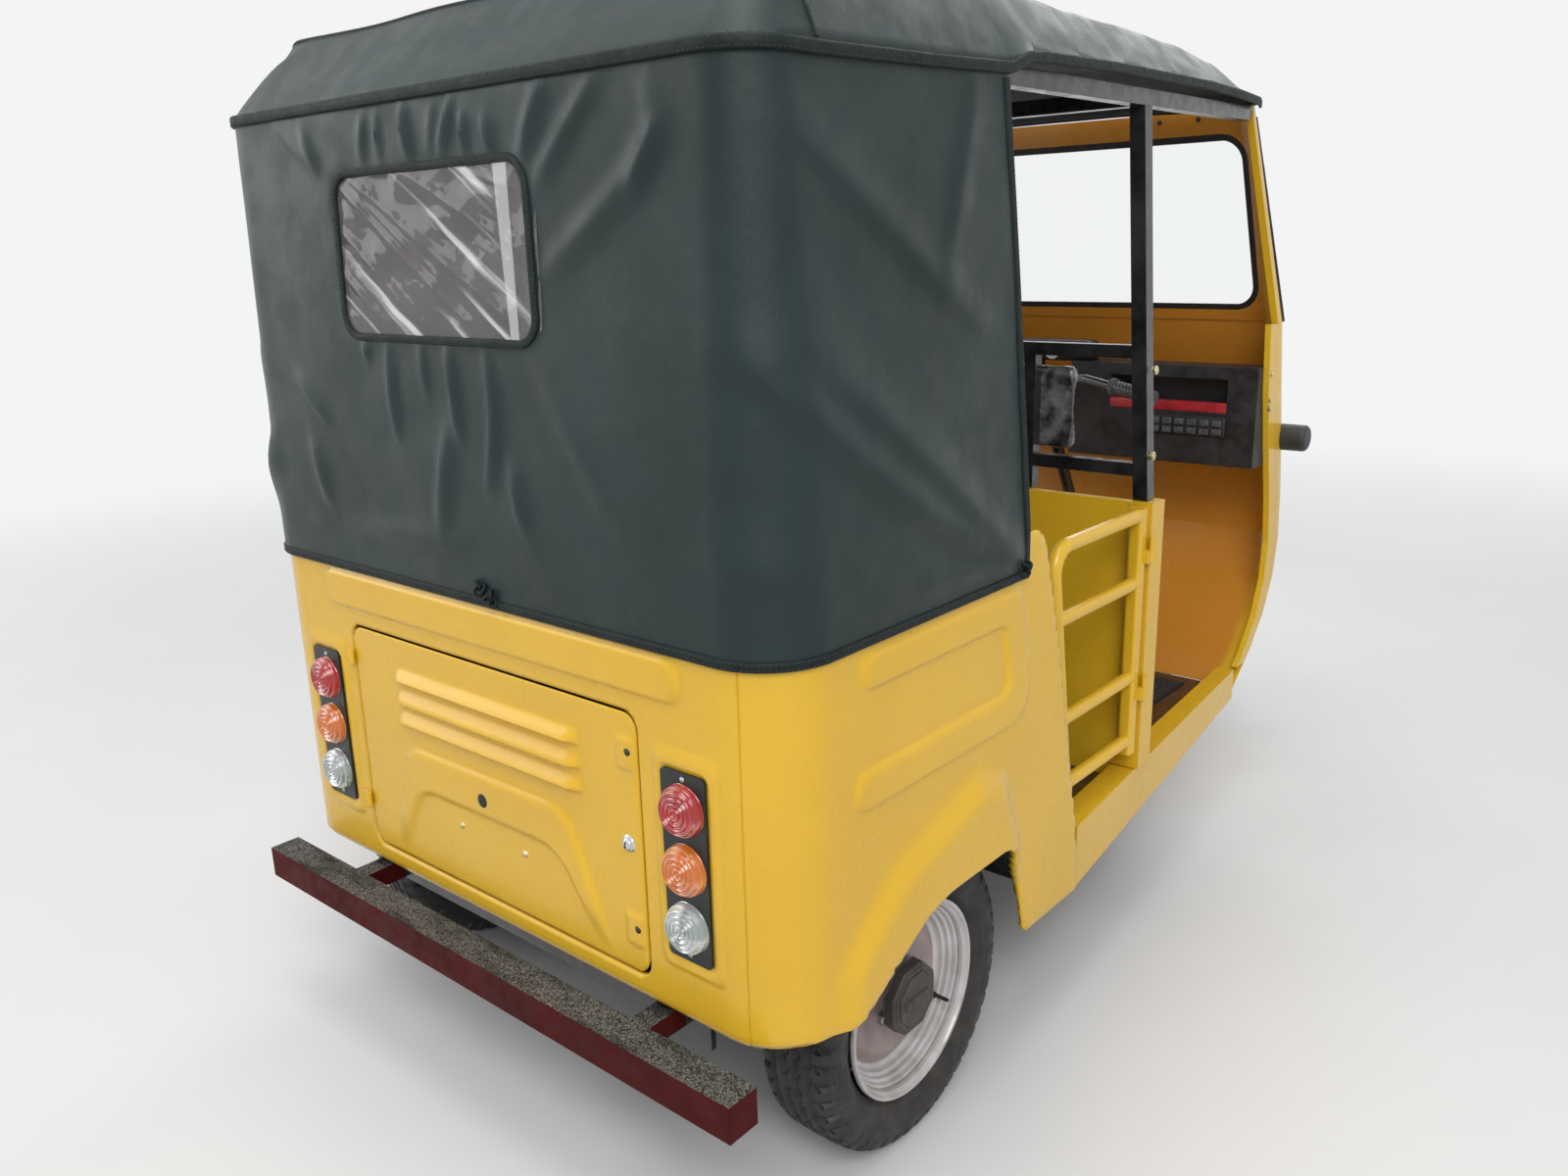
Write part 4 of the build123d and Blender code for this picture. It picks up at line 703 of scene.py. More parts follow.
raised += pressed(band, field_height, field_shoulder) * low_fade
for x, z in latch_places:
    square = rectangle(x - 0.016, x + 0.024, z - 0.028, z + 0.028, 0.008)
    raised += pressed(beyond(square, a_grid, b_grid), latch_height, latch_shoulder)
cut = beyond(rectangle(-door_half, door_half, door_bottom, door_top, door_corner), a_grid, b_grid)
raised -= hatch_edge_depth * rolled(cut, hatch_edge_reach)
points = np.stack([a_grid, body_rear + raised, b_grid], -1)
hatch = trimmed("rear_hatch_panel", points, cut, yellow_paint, hatch_cell * 0.12)
thicken(hatch, sheet_thickness)
fit(hatch, "rear_door", "rear_door")
dress("rear_door_hinges", yellow_paint)

black_seal_and_shade = finish(
    "black_seal_and_shade", ((0.008, 0.008, 0.008), (0.016, 0.016, 0.016)), (0.5, 0.7), 30, [(600, 0.0002)],
)
lock_plate = finish("lock_plate", ((0.55, 0.57, 0.58), (0.72, 0.73, 0.73)), (0.14, 0.3), 40, Metallic=1.0)
screw_brass = finish("screw_brass", ((0.55, 0.47, 0.25), (0.7, 0.62, 0.38)), (0.25, 0.4), 60, Metallic=0.9)


def facing_rear(rings, angle, x, y, z):
    """Vertices of rings of (outwards, radius), turned about a line that points backwards."""
    return [(x + r * cos(a), y + out, z + r * sin(a)) for out, r in rings for a in angle]


def dome(x, y, z, radius, depth, sides=24, rings=5):
    """Vertices and faces of a low round head that faces backwards."""
    steps = [(0.0, radius)] + [(depth * sin(t), radius * cos(t)) for t in np.linspace(0.25, 1.45, rings)]
    return facing_rear(steps, turns(sides), x, y, z), ring_faces(len(steps), sides, flip=True)


def box(x0, x1, y0, y1, z0, z1):
    """Vertices and faces of a plain block."""
    vertices = [(x, y, z) for x in (x0, x1) for y in (y0, y1) for z in (z0, z1)]
    return vertices, [(0, 1, 3, 2), (4, 6, 7, 5), (0, 4, 5, 1), (2, 3, 7, 6), (0, 2, 6, 4), (1, 5, 7, 3)]


plug_x, plug_z, screw_x, screw_z = 0.009, 0.567, 0.083, 0.498
keyhole_wide, keyhole_tall = 0.0012, 0.005
plug = dome(plug_x, body_rear + field_height - 0.001, plug_z, 0.0125, 0.004)
screws = [dome(x, body_rear - 0.001, screw_z, 0.0062, 0.0045, 12, 3) for x in (screw_x, -screw_x)]
# Painted shade: black discs in the latch squares stand for the dark openings of the slots.
slots = [dome(x - 0.004, body_rear + 0.0033, z + 0.004, 0.0065, 0.0018, 12, 2) for x, z in latch_places]
lock_low, lock_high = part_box("rear_door_lock")
lock_x, lock_z = (lock_low.x + lock_high.x) / 2, (lock_low.z + lock_high.z) / 2
lock = [dome(lock_x, body_rear, lock_z, 0.0135, 0.005, 32),
        dome(lock_x, body_rear + 0.004, lock_z, 0.009, 0.0035, 24)]
# Painted shade: the keyhole is a thin black block on the lock, standing for the dark hole.
keyhole = box(lock_x - keyhole_wide, lock_x + keyhole_wide, body_rear + 0.0072, body_rear + 0.0079,
              lock_z - keyhole_tall, lock_z + keyhole_tall)
for name, parts, material, slot_name, node in (
    ("hatch_plug", [plug], black_seal_and_shade, "seal_rubber", None),
    ("plate_screws", screws, screw_brass, "lock_chrome", None),
    ("hatch_slots", slots, black_seal_and_shade, "seal_rubber", None),
    ("hatch_lock", lock, lock_plate, "lock_chrome", "rear_door_lock"),
    ("lock_keyhole", [keyhole], black_seal_and_shade, "seal_rubber", None),
):
    piece = mesh_piece(name, *joined(parts), material, name != "lock_keyhole")
    fit(piece, "rear_door", node)

# Tail lamps: three ringed lenses on each side, red over amber over clear. Each is moulded in one piece
# and fixed to a black plate, which is screwed on inside its pressed ring.
lens_radius, lens_depth, lens_tip = 0.0385, 0.021, 0.0004
lens_rings, lens_ring_depth = 5, 0.0022
lens_turns = 48
steps = np.linspace(1, 0, 56)
rise = lens_depth * np.clip(1 - (steps * 0.985) ** 6, 0, 1) ** 0.5
rise += lens_ring_depth * np.cos(steps * lens_rings * 2 * pi) * (steps < 0.92) - lens_ring_depth
lens_section = [(0.0, lens_radius), *zip(rise, np.maximum(steps * lens_radius, lens_tip))]
dress("tail_lamp_plates", finish(
    "plate_black", ((0.006, 0.009, 0.008), (0.012, 0.017, 0.015)), (0.3, 0.45), 20, [(500, 0.0002)],
    edge=0.002,
))
plate_middle, screw_inset = (plate_inner + plate_outer) / 2, 0.010
plate_screws = [
    dome(x, lamp_high.y - 0.0005, z, 0.0045, 0.0025, 12, 3) for x in (-plate_middle, plate_middle)
    for z in (lamp_high.z - screw_inset, lamp_low.z + screw_inset)
]
fit(mesh_piece("lamp_screws", *joined(plate_screws), nut_steel), "body")
for colour, tones, milky in (
    ("red", ((0.36, 0.004, 0.006), (0.46, 0.007, 0.009)), 0.15),
    ("amber", ((0.60, 0.15, 0.014), (0.70, 0.19, 0.022)), 0.15),
    ("clear", ((0.38, 0.44, 0.43), (0.50, 0.55, 0.54)), 0.4),
):
    node = "tail_lamps_" + colour
    low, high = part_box(node)
    glass = finish(node, tones, (0.08, 0.2), 30, edge=0.0005, Transmission_Weight=milky, Coat_Weight=0.6,
                   Coat_Roughness=0.05)
    z = (low.z + high.z) / 2
    lenses = [
        (facing_rear(lens_section, turns(lens_turns), x, low.y, z),
         ring_faces(len(lens_section), lens_turns, flip=True)[:-1])
        for x in (lens_radius - high.x, high.x - lens_radius)
    ]
    fit(mesh_piece("lenses_" + colour, *joined(lenses), glass), "body", node)

# Sills, partition, gates and their posts, mudguard and front frame: folded sheet steel in the body's
# yellow. Inside the cab's front, faces turned backwards are painted darker and more orange: painted
# shade with a warm bounce of light from the yellow around them.
inner_shade_tint = (0.56, 0.225, 0.026, 1)
for node in (
    "sills", "partition_panel", "gate_posts", "front_pillars", "front_mudguard", "gate_left", "gate_right",
):
    dress(node, yellow_paint)
cab_paint = yellow_paint.copy()
cab_paint.name = "cab_paint"
tree, inputs, painted, _ = opened(cab_paint)
# Painted shade: faces turned backwards near the middle, inside the cab's front, blend to a dark orange tint.
from_middle = times(tree, along_axis(tree, resting_place(tree), "X"), 0.0, "ABSOLUTE")
backwards = spread(tree, facing(tree, "Y"), 0, 1, 0.15, 0.5)
inside_cab = times(tree, backwards, spread(tree, from_middle, 1, 0, 0.495, 0.525))
tree.links.new(blend_colour(tree, inside_cab, painted, inner_shade_tint), inputs["Base Color"])
dress("front_cowl", cab_paint)
dress("windscreen_frame", cab_paint)

# Windscreen: laminated glass, clear with a faint green edge, in a black rubber seal.
dress("windscreen_glass", finish(
    "screen_glass", ((0.86, 0.93, 0.90), (0.90, 0.95, 0.93)), (0.0, 0.03), 3, edge=0.0005,
    Transmission_Weight=1.0, IOR=1.02, Alpha=0.25,
))
dress("windscreen_seal", black_seal_and_shade)

# Front lamps: clear fluted lenses in chromed rims, set into the cowl on both sides, and black
# indicator housings whose amber lenses face forwards.
lamp_turns = 64
# Rim section, columns: backwards from the lens's front in metres, share of the lamp's radius
rim_section = [(0.030, 1.002), (0.014, 1.002), (0.006, 1.04), (0.012, 1.075), (0.030, 1.08)]
lamp_glass = finish("lamp_glass", ((0.62, 0.66, 0.68), (0.74, 0.78, 0.80)), (0.05, 0.15), 20, edge=0.003,
                    Transmission_Weight=0.5, Coat_Weight=0.8, Coat_Roughness=0.03)
tree, inputs, _, normal = opened(lamp_glass)
flutes = add(tree, "TexWave", {"Vector": resting_place(tree), "Scale": 26.0}, bands_direction="X")
tree.links.new(relief(tree, flutes.outputs["Fac"], 0.0015, normal), inputs["Normal"])
dress("head_lamps", lamp_glass)
dress("front_indicators", case_black)
chrome = finish("chrome", ((0.72, 0.72, 0.73), (0.82, 0.82, 0.83)), (0.06, 0.16), 30, dust=0.1, Metallic=1.0)
low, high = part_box("head_lamps")
lamp_radius = (high.z - low.z) / 2
rings = [(out, share * lamp_radius) for out, share in rim_section]
rims = [
    (facing_rear(rings, turns(lamp_turns), hand * (high.x - lamp_radius), low.y, (low.z + high.z) / 2),
     ring_faces(len(rings), lamp_turns, closed=True)) for hand in (-1, 1)
]
fit(mesh_piece("head_lamp_rims", *joined(rims), chrome), "body")
low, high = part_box("front_indicators")
ambers = []
for hand in (-1, 1):
    vertices, faces = dome(hand * (high.x - 0.026), 0, (low.z + high.z) / 2, 0.022, 0.012)
    ambers.append(([(x, low.y + 0.002 - y, z) for x, y, z in vertices], [face[::-1] for face in faces]))
ambers = mesh_piece("indicator_lenses", *joined(ambers), bpy.data.materials["tail_lamps_amber"])
crease_by_angle(ambers)
fit(ambers, "body")

# Floor mats: black rubber with ribs that run along the vehicle, laid loose on the steel floor.
mat_rubber = finish(
    "mat_rubber", ((0.010, 0.010, 0.010), (0.024, 0.022, 0.021)), (0.6, 0.85), 6, [(500, 0.0004)], dust=0.12,
)
rib_pitch, rib_height = 0.014, 0.0026
front_mat, rear_mat = 0.2147, 0.2475
low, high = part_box("floor_mats")
mats = []
for y0, y1 in ((low.y, low.y + front_mat), (high.y - rear_mat, high.y)):
    ribs = int((high.x - low.x) / rib_pitch)
    across = np.linspace(low.x, high.x, 6 * ribs + 1)
    tall = high.z - rib_height * (np.arange(len(across)) % 6 > 2)
    rows = [(y0, 0), (y0, 1), (y1, 1), (y1, 0)]
    vertices = np.array([(x, y, (low.z, z)[top]) for y, top in rows for x, z in zip(across, tall)])
    faces = list(grid_faces(4, len(across), True)) + [[k * len(across) for k in range(4)]]
    faces += [[k * len(across) + len(across) - 1 for k in range(3, -1, -1)]]
    mats.append((vertices, faces))
fit(mesh_piece("floor_mat_ribs", *joined(mats), mat_rubber, False), "body", "floor_mats")

# Dashboard: a moulded black shelf with a recess on the driver's right, edged in red at its lip, and
# a low panel of generic switches under it.
dash_black = finish("dash_black", ((0.012, 0.010, 0.012), (0.022, 0.019, 0.021)), (0.4, 0.6), 12,
                    [(900, 0.0002)], edge=0.004)
red_trim = finish(
    "red_trim", ((0.30, 0.012, 0.02), (0.40, 0.02, 0.03)), (0.3, 0.45), 30, [(300, 0.0002)],
)
switch_grey = finish(
    "switch_grey", ((0.05, 0.05, 0.055), (0.09, 0.09, 0.095)), (0.3, 0.5), 60, edge=0.001,
)
dial_face = finish("dial_face", ((0.55, 0.56, 0.55), (0.62, 0.62, 0.61)), (0.15, 0.3), 30, Coat_Weight=0.8,
                   Coat_Roughness=0.03)
recess_left, recess_right = -0.471, -0.168
switch_pitch, switch_rise = 0.031, 0.021
dress("dashboard", dash_black)
bevelled(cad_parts["dashboard"], 0.009, 3)
low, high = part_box("dashboard")
knobs = [
    box(-0.462 + switch_pitch * k, -0.440 + switch_pitch * k, high.y + 0.004, high.y + 0.010,
        0.957 + switch_rise * row, 0.972 + switch_rise * row)
    for k in range(6) for row in range(2)
]
for name, parts, material, width, segments, slot_name in (
    ("dash_red_trim", [box(recess_left, recess_right, high.y - 0.020, high.y - 0.001, 1.008, 1.034)],
     red_trim, 0.003, 2, "red_lens"),
    ("dash_panel", [box(-0.470, -0.270, high.y - 0.002, high.y + 0.005, 0.952, 1.000)],
     dash_black, 0.003, 2, "dark_plastic"),
    ("dash_switches", knobs, switch_grey, 0.0015, 2, "dark_plastic"),
    ("dash_binnacle", [box(-0.11, 0.11, high.y - 0.075, high.y - 0.005, high.z - 0.004, high.z + 0.050)],
     dash_black, 0.02, 4, "dark_plastic"),
):
    fit(bevelled(mesh_piece(name, *joined(parts), material), width, segments), "body")
dial = dome(0.0, high.y - 0.006, high.z + 0.022, 0.021, 0.002, 40)
fit(mesh_piece("dash_dial", *dial, dial_face), "body")

# Fastenings of the cab: brass coloured bolts on the front pillars' joint plates and where the tube
# frame meets the black posts, and two rubber plugs in the header over the windscreen.
# Bolts, columns: x on either side, y, z and radius in metres
bolt_rows = [(0.555, y, z, 0.0065) for y, z in ((-0.614, 1.105), (-0.618, 1.044), (-0.620, 1.023))]
bolt_rows += [(0.583, 0.108, 1.180, 0.009), (0.587, 0.108, 1.017, 0.009)]
bolts = [
    prism(6 if size > 0.008 else 16, size, -0.002, 0.005, (hand * x, y, z), hand, 0.7)
    for x, y, z, size in bolt_rows for hand in (-1, 1)
]
fit(mesh_piece("cab_bolts", *joined(bolts), screw_brass, False), "body")
plugs = [dome(x, y, 1.672, 0.006, 0.002, 16, 3) for x, y in ((-0.389, -0.4935), (-0.297, -0.4975))]
fit(mesh_piece("header_plugs", *joined(plugs), black_seal_and_shade), "body")

# Wiper: a black steel arm and rubber blade, parked low across the windscreen's outer face and
# fixed on a spindle below the glass.
blade_height, blade_lift, blade_radius, arm_radius = 1.243, 0.009, 0.005, 0.0045
# The glass at its foot and its head, columns: height, y in the middle, y at the sides
screen_foot, screen_head = (1.2203, -0.741, -0.634), (1.690, -0.520, -0.452)
screen_bow_share, screen_half = 0.3, 0.54


def on_screen(x, z, lift):
    """A point over the windscreen's outer face."""
    share = (z - screen_foot[0]) / (screen_head[0] - screen_foot[0])
    middle, side = (screen_foot[k] + share * (screen_head[k] - screen_foot[k]) for k in (1, 2))
    return x, middle + screen_bow_share * (side - middle) * (x / screen_half) ** 2 - lift, z


def tube(points, radii, sides=10, closed=False):
    """Vertices and faces of a tube along points, with its ends closed or the tube joined up."""
    points = np.array(points, float)
    radii = np.broadcast_to(radii, len(points))
    tangent = np.roll(points, -1, 0) - np.roll(points, 1, 0)
    if not closed:
        tangent[0], tangent[-1] = points[1] - points[0], points[-1] - points[-2]
    tangent /= np.linalg.norm(tangent, axis=1, keepdims=True)
    first = np.cross(tangent[0], (0.0, 0.0, 1.0) if abs(tangent[0][2]) < 0.9 else (1.0, 0.0, 0.0))
    vertices = []
    for point, run, radius in zip(points, tangent, radii):
        first = first - run * (first @ run)
        first /= np.linalg.norm(first)
        second = np.cross(run, first)
        turn = turns(sides)
        vertices += list(point + radius * (np.outer(np.cos(turn), first) + np.outer(np.sin(turn), second)))
    return vertices, ring_faces(len(points), sides, closed)


blade = [on_screen(x, blade_height, blade_lift) for x in np.linspace(-0.42, 0.02, 12)]
arm = [on_screen(0.10, 1.228, -0.004), on_screen(0.10, 1.228, 0.018), on_screen(-0.06, 1.236, 0.022),
       on_screen(-0.20, blade_height, 0.010)]
wiper = [tube(blade, blade_radius, 8), tube(along(arm, 24), arm_radius, 8)]
wiper = mesh_piece("wiper", *joined(wiper), black_seal_and_shade)
crease_by_angle(wiper, 50)
fit(wiper, "body")

# Windscreen's edging: a thin black tube laid along both outer edges of the frame, from its foot
# to just under the roof.
edging_foot, edging_rise = np.array((0.562, -0.680, 1.2203)), np.array((-0.033, 0.175, 0.4697))
edging_radius, edging_lift = 0.0045, 0.0015
screen_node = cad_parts["windscreen_frame"]
edgings = []
for hand in (-1, 1):
    line = []
    for share in np.linspace(0.01, 0.965, 30):
        near = (edging_foot + share * edging_rise) * (hand, 1, 1)
        _, place, out, _ = screen_node.closest_point_on_mesh(Vector(near))
        line.append(place + edging_lift * out)
    edgings.append(tube(line, edging_radius, 8))
fit(mesh_piece("screen_edging", *joined(edgings), black_seal_and_shade), "body")

# Handlebar grips: ribbed grey rubber sleeves pushed over both ends of the bar.
grip_rubber = finish(
    "grip_rubber", ((0.05, 0.05, 0.053), (0.09, 0.09, 0.094)), (0.5, 0.7), 30, [(500, 0.0004)], dust=0.1,
)
grip_end, grip_start = np.array((0.350, -0.4253, 1.0567)), np.array((0.2336, -0.4556, 1.0742))
shares = np.linspace(-0.02, 1.02, 90)
grip_radius, grip_rib, grip_ribs, grip_collar = 0.0168, 0.0012, 12, 0.004
sleeve = grip_radius + grip_rib * np.sin(shares * 2 * pi * grip_ribs) * (shares > 0.1)
sleeve += grip_collar * (shares < 0.07)
grips = []
for hand in (-1, 1):
    line = [(grip_start + share * (grip_end - grip_start)) * (hand, 1, 1) for share in shares]
    grips.append(tube(line, sleeve, 20))
grips = mesh_piece("handlebar_grips", *joined(grips), grip_rubber)
crease_by_angle(grips, 50)
fit(grips, "steering")

# Seats: foam pads in black vinyl, blown up over their boards by cloth simulation. Sewn channels run
# across them. The driver's back rest is still in its clear packing film, which is full of creases.
seat_vinyl = finish("seat_vinyl", ((0.014, 0.014, 0.015), (0.026, 0.025, 0.025)), (0.34, 0.48), 8,
                    [(900, 0.0003), (60, 0.0008)], edge=0.004, dust=0.05)
packed_vinyl = finish("packed_vinyl", ((0.02, 0.02, 0.02), (0.16, 0.16, 0.165)), (0.08, 0.2), 30,
                      [(60, 0.006), (22, 0.008)], edge=0.004, Coat_Weight=1.0, Coat_Roughness=0.06)
pad_voxel, pad_corner = 0.010, 0.018
pad_frames, pad_pressure = 20, 4.0
channel_half, channel_depth = 0.010, 0.011


def made_mesh(piece):
    """A piece's mesh as its modifiers leave it."""
    return bpy.data.meshes.new_from_object(piece.evaluated_get(bpy.context.evaluated_depsgraph_get()))


def block_net(low, high):
    """A rounded block as one even net of small faces."""
    block = box(low.x, high.x, low.y, high.y, low.z, high.z)
    raw = bevelled(mesh_piece("net", *block, seat_vinyl), pad_corner, 4)
    even = raw.modifiers.new("even", "REMESH")
    even.mode, even.voxel_size, even.use_smooth_shade = "VOXEL", pad_voxel, True
    made = made_mesh(raw)
    bpy.data.objects.remove(raw)
    return made


def places_of(mesh):
    """A mesh's vertices as an array."""
    places = np.empty(3 * len(mesh.vertices))
    mesh.vertices.foreach_get("co", places)
    return places.reshape(-1, 3)


def pad(name, node, held, face, channels, cap, inset, cover=seat_vinyl):
    """A cushion that stands for a node. Held says which side lies on its board, face the side that is
    sat on, each as (axis, hand). Channels are places across it where it is sewn down. Cap is how far
    a point may be blown out, inset how much smaller the net is than the node."""
    low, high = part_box(node)
    small_low, small_high = low.copy(), high.copy()
    for axis in range(3):
        small_low[axis] += 0 if held == (axis, -1) else inset
        small_high[axis] -= 0 if held == (axis, 1) else inset
    mesh = block_net(small_low, small_high)
    piece = bpy.data.objects.new(name, mesh)
    bpy.context.scene.collection.objects.link(piece)
    before = places_of(mesh)
    base = (small_high if held[1] > 0 else small_low)[held[0]]
    resting = np.abs(before[:, held[0]] - base) < 0.6 * pad_voxel
    group = piece.vertex_groups.new(name="held")
    group.add([int(k) for k in np.flatnonzero(resting)], 1.0, "REPLACE")
    cloth = piece.modifiers.new("foam", "CLOTH")
    cloth.settings.vertex_group_mass = "held"
    cloth.settings.use_pressure, cloth.settings.uniform_pressure_force = True, pad_pressure
    cloth.settings.effector_weights.gravity = 0
    cloth.settings.quality = 5
    for number in range(1, pad_frames + 1):
        bpy.context.scene.frame_set(number)
    blown = made_mesh(piece)
    after = places_of(blown)
    bpy.data.meshes.remove(blown)
    piece.modifiers.clear()
    piece.vertex_groups.clear()
    bpy.context.scene.frame_set(1)
    move = after - before
    size = np.linalg.norm(move, axis=1, keepdims=True)
    before = before + move * np.minimum(1, cap / np.maximum(size, 1e-9))
    side = before[:, face[0]]
    top = side.max() if face[1] > 0 else side.min()
    near = smoothly(1 - np.abs(side - top) / 0.05)
    dip = sum(np.exp(-((before[:, 0] - place) / channel_half) ** 2) for place in channels)
    before[:, face[0]] -= face[1] * channel_depth * dip * near
    mesh.vertices.foreach_set("co", before.ravel())
    mesh.update()
    finer = piece.modifiers.new("finer", "SUBSURF")
    finer.levels = finer.render_levels = 1
    mesh.materials.clear()
    mesh.materials.append(cover)
    fit(piece, "body", node)


lying, upright_back = ((2, -1), (2, 1)), ((1, 1), (1, -1))
pad("bench_cushion", "passenger_cushion", *lying, [-0.39, -0.195, 0.0, 0.195, 0.39], 0.014, 0.012)
pad("bench_back", "passenger_backrest", *upright_back, [-0.35, -0.175, 0.0, 0.175, 0.35], 0.012, 0.010)
pad("driver_cushion", "driver_seat_cushion", *lying, [-0.09, 0.09], 0.014, 0.012)
pad("driver_back", "driver_backrest", *upright_back, [-0.14, 0.14], 0.010, 0.008, packed_vinyl)
dress("driver_seat_box", yellow_paint)
dress("bench_front", yellow_paint)
dress("bench_board", finish("ply", ((0.30, 0.17, 0.08), (0.42, 0.26, 0.13)), (0.5, 0.7), 4, [(80, 0.0005)]))

# Hood: one sheet of coated canvas hung round the back and both sides, from the roof seam to a hem
# that laps over the body. It is drawn tight at the corners, so folds run from the window and corners.
hood_cell = 0.008
hood_hem, hood_shoulder, hood_seam = 0.905, 0.985, 1.645
hood_seam_rise = 0.012
hood_bottom_half, hood_top_half = 0.6295, 0.6005
hood_bottom_rear, hood_top_rear = 1.2745, 1.2655
hood_bottom_corner, hood_top_corner = 0.110, 0.078
hood_front_low, hood_front_high = 0.657, 0.705
hood_thickness = 0.0022
fold_gain = 1.3
window_left, window_right, window_low, window_high = -0.214, 0.266, 1.311, 1.552
window_corner = 0.036
hood_window = rectangle(window_left, window_right, window_low, window_high, window_corner)
# Folds, each a line of (place along the wall from the middle of the back, height), with its width and
# its height in metres
hood_folds = [
    ([(0.17, 1.64), (0.18, 1.57)], 0.010, 0.006), ([(0.13, 1.64), (0.13, 1.57)], 0.008, 0.005),
    ([(0.06, 1.645), (0.05, 1.565)], 0.012, 0.008), ([(-0.02, 1.64), (0.0, 1.57)], 0.009, 0.004),
    ([(-0.07, 1.645), (-0.03, 1.57)], 0.010, 0.007), ([(-0.09, 1.62), (-0.09, 1.565)], 0.008, 0.006),
    ([(-0.14, 1.61), (-0.15, 1.56)], 0.010, 0.006), ([(-0.27, 1.645), (-0.21, 1.55)], 0.014, 0.008),
    ([(-0.38, 1.645), (-0.24, 1.52)], 0.014, 0.007),
    ([(-0.47, 1.62), (-0.48, 1.55), (-0.25, 1.41)], 0.020, 0.007),
    ([(-0.49, 1.58), (-0.43, 1.50)], 0.012, 0.006), ([(0.44, 1.645), (0.30, 1.56)], 0.016, 0.006),
    ([(0.35, 1.63), (0.31, 1.57)], 0.010, 0.005), ([(0.22, 1.305), (0.22, 1.27)], 0.008, 0.005),
    ([(0.16, 1.305), (0.15, 1.15)], 0.012, 0.007), ([(0.07, 1.305), (0.06, 1.22)], 0.010, 0.005),
    ([(0.0, 1.305), (-0.02, 1.16)], 0.012, 0.008), ([(0.01, 1.18), (0.05, 1.02)], 0.018, 0.008),
    ([(-0.09, 1.305), (-0.11, 1.19), (-0.08, 1.09)], 0.012, 0.007),
    ([(-0.14, 1.13), (-0.16, 1.04)], 0.014, 0.007), ([(0.44, 1.24), (0.35, 1.16)], 0.014, 0.006),
    ([(0.41, 1.13), (0.37, 1.02)], 0.016, 0.007), ([(0.27, 0.985), (-0.01, 0.995)], 0.018, 0.005),
    ([(-0.20, 1.29), (-0.34, 1.09)], 0.022, 0.005),
    ([(-0.66, 1.58), (-0.97, 1.37), (-1.10, 1.30)], 0.028, 0.008),
    ([(-1.11, 1.65), (-0.98, 1.37)], 0.024, 0.007), ([(-0.70, 1.29), (-1.16, 0.95)], 0.030, 0.012),
    ([(-0.60, 1.29), (-0.86, 1.08), (-1.16, 0.94)], 0.028, 0.013),
    ([(-0.52, 1.31), (-0.62, 1.30), (-0.74, 1.32)], 0.036, 0.0035),
    ([(-0.50, 1.06), (-0.66, 1.02)], 0.034, 0.004), ([(-0.90, 0.96), (-1.15, 0.935)], 0.014, 0.006),
    ([(0.66, 1.58), (0.95, 1.38), (1.12, 1.28)], 0.028, 0.008),
    ([(0.62, 1.26), (0.90, 1.08), (1.15, 0.95)], 0.030, 0.012),
    ([(0.80, 1.62), (1.02, 1.20)], 0.030, 0.006), ([(0.55, 1.12), (0.62, 1.0)], 0.026, 0.009),
]
canvas = finish(
    "canvas", ((0.003, 0.0130, 0.0125), (0.006, 0.0195, 0.0185)), (0.38, 0.50), 4,
    [(1500, 0.0003), (420, 0.0002), (24, 0.0010)], edge=0.0006, Sheen_Weight=0.06, Sheen_Roughness=0.4,
    Specular_IOR_Level=0.38,
)


def fold(a, b, line, width, height):
    """A rounded ridge along a line, steeper on its lower side, fading at both ends."""
    points = along(line, 2 + 4 * len(line))
    lengths = np.linalg.norm(np.diff(points, axis=0), axis=1)
    start_at = np.concatenate([[0], np.cumsum(lengths)])
    nearest, signed, share = np.full(a.shape, np.inf), np.zeros(a.shape), np.zeros(a.shape)
    for k, length in enumerate(lengths):
        run = (points[k + 1] - points[k]) / length
        da, db = a - points[k][0], b - points[k][1]
        t = np.clip(da * run[0] + db * run[1], 0, length)
        far = np.hypot(da - t * run[0], db - t * run[1])
        closer = far < nearest
        nearest = np.where(closer, far, nearest)
        signed = np.where(closer, far * np.sign(da * run[1] - db * run[0] + 1e-9), signed)
        share = np.where(closer, (start_at[k] + t) / start_at[-1], share)
    reach = width * np.where(signed > 0, 1.35, 0.75)
    fade = 0.25 + 0.75 * np.sin(pi * np.clip(share, 0, 1)) ** 0.7
    return height * fade * np.exp(-((nearest / reach) ** 2))


def ripple(a, b, size, seed):
    """Soft unevenness between -1 and 1, from a few waves that cross each other."""
    waves = np.random.default_rng(seed)
    total = np.zeros(np.shape(a))
    for _ in range(7):
        turn, phase = waves.uniform(0, pi), waves.uniform(0, 2 * pi)
        total += np.sin((a * cos(turn) + b * sin(turn)) * 2 * pi / (size * waves.uniform(0.7, 1.6)) + phase)
    return total / 3.5


def unevenness(a, b, sizes, seeds):
    """A broad unevenness of the cloth with a fine one over it, in metres."""
    broad, fine = (ripple(a, b, size, seed) for size, seed in zip(sizes, seeds))
    return 0.0030 * broad + 0.0008 * fine


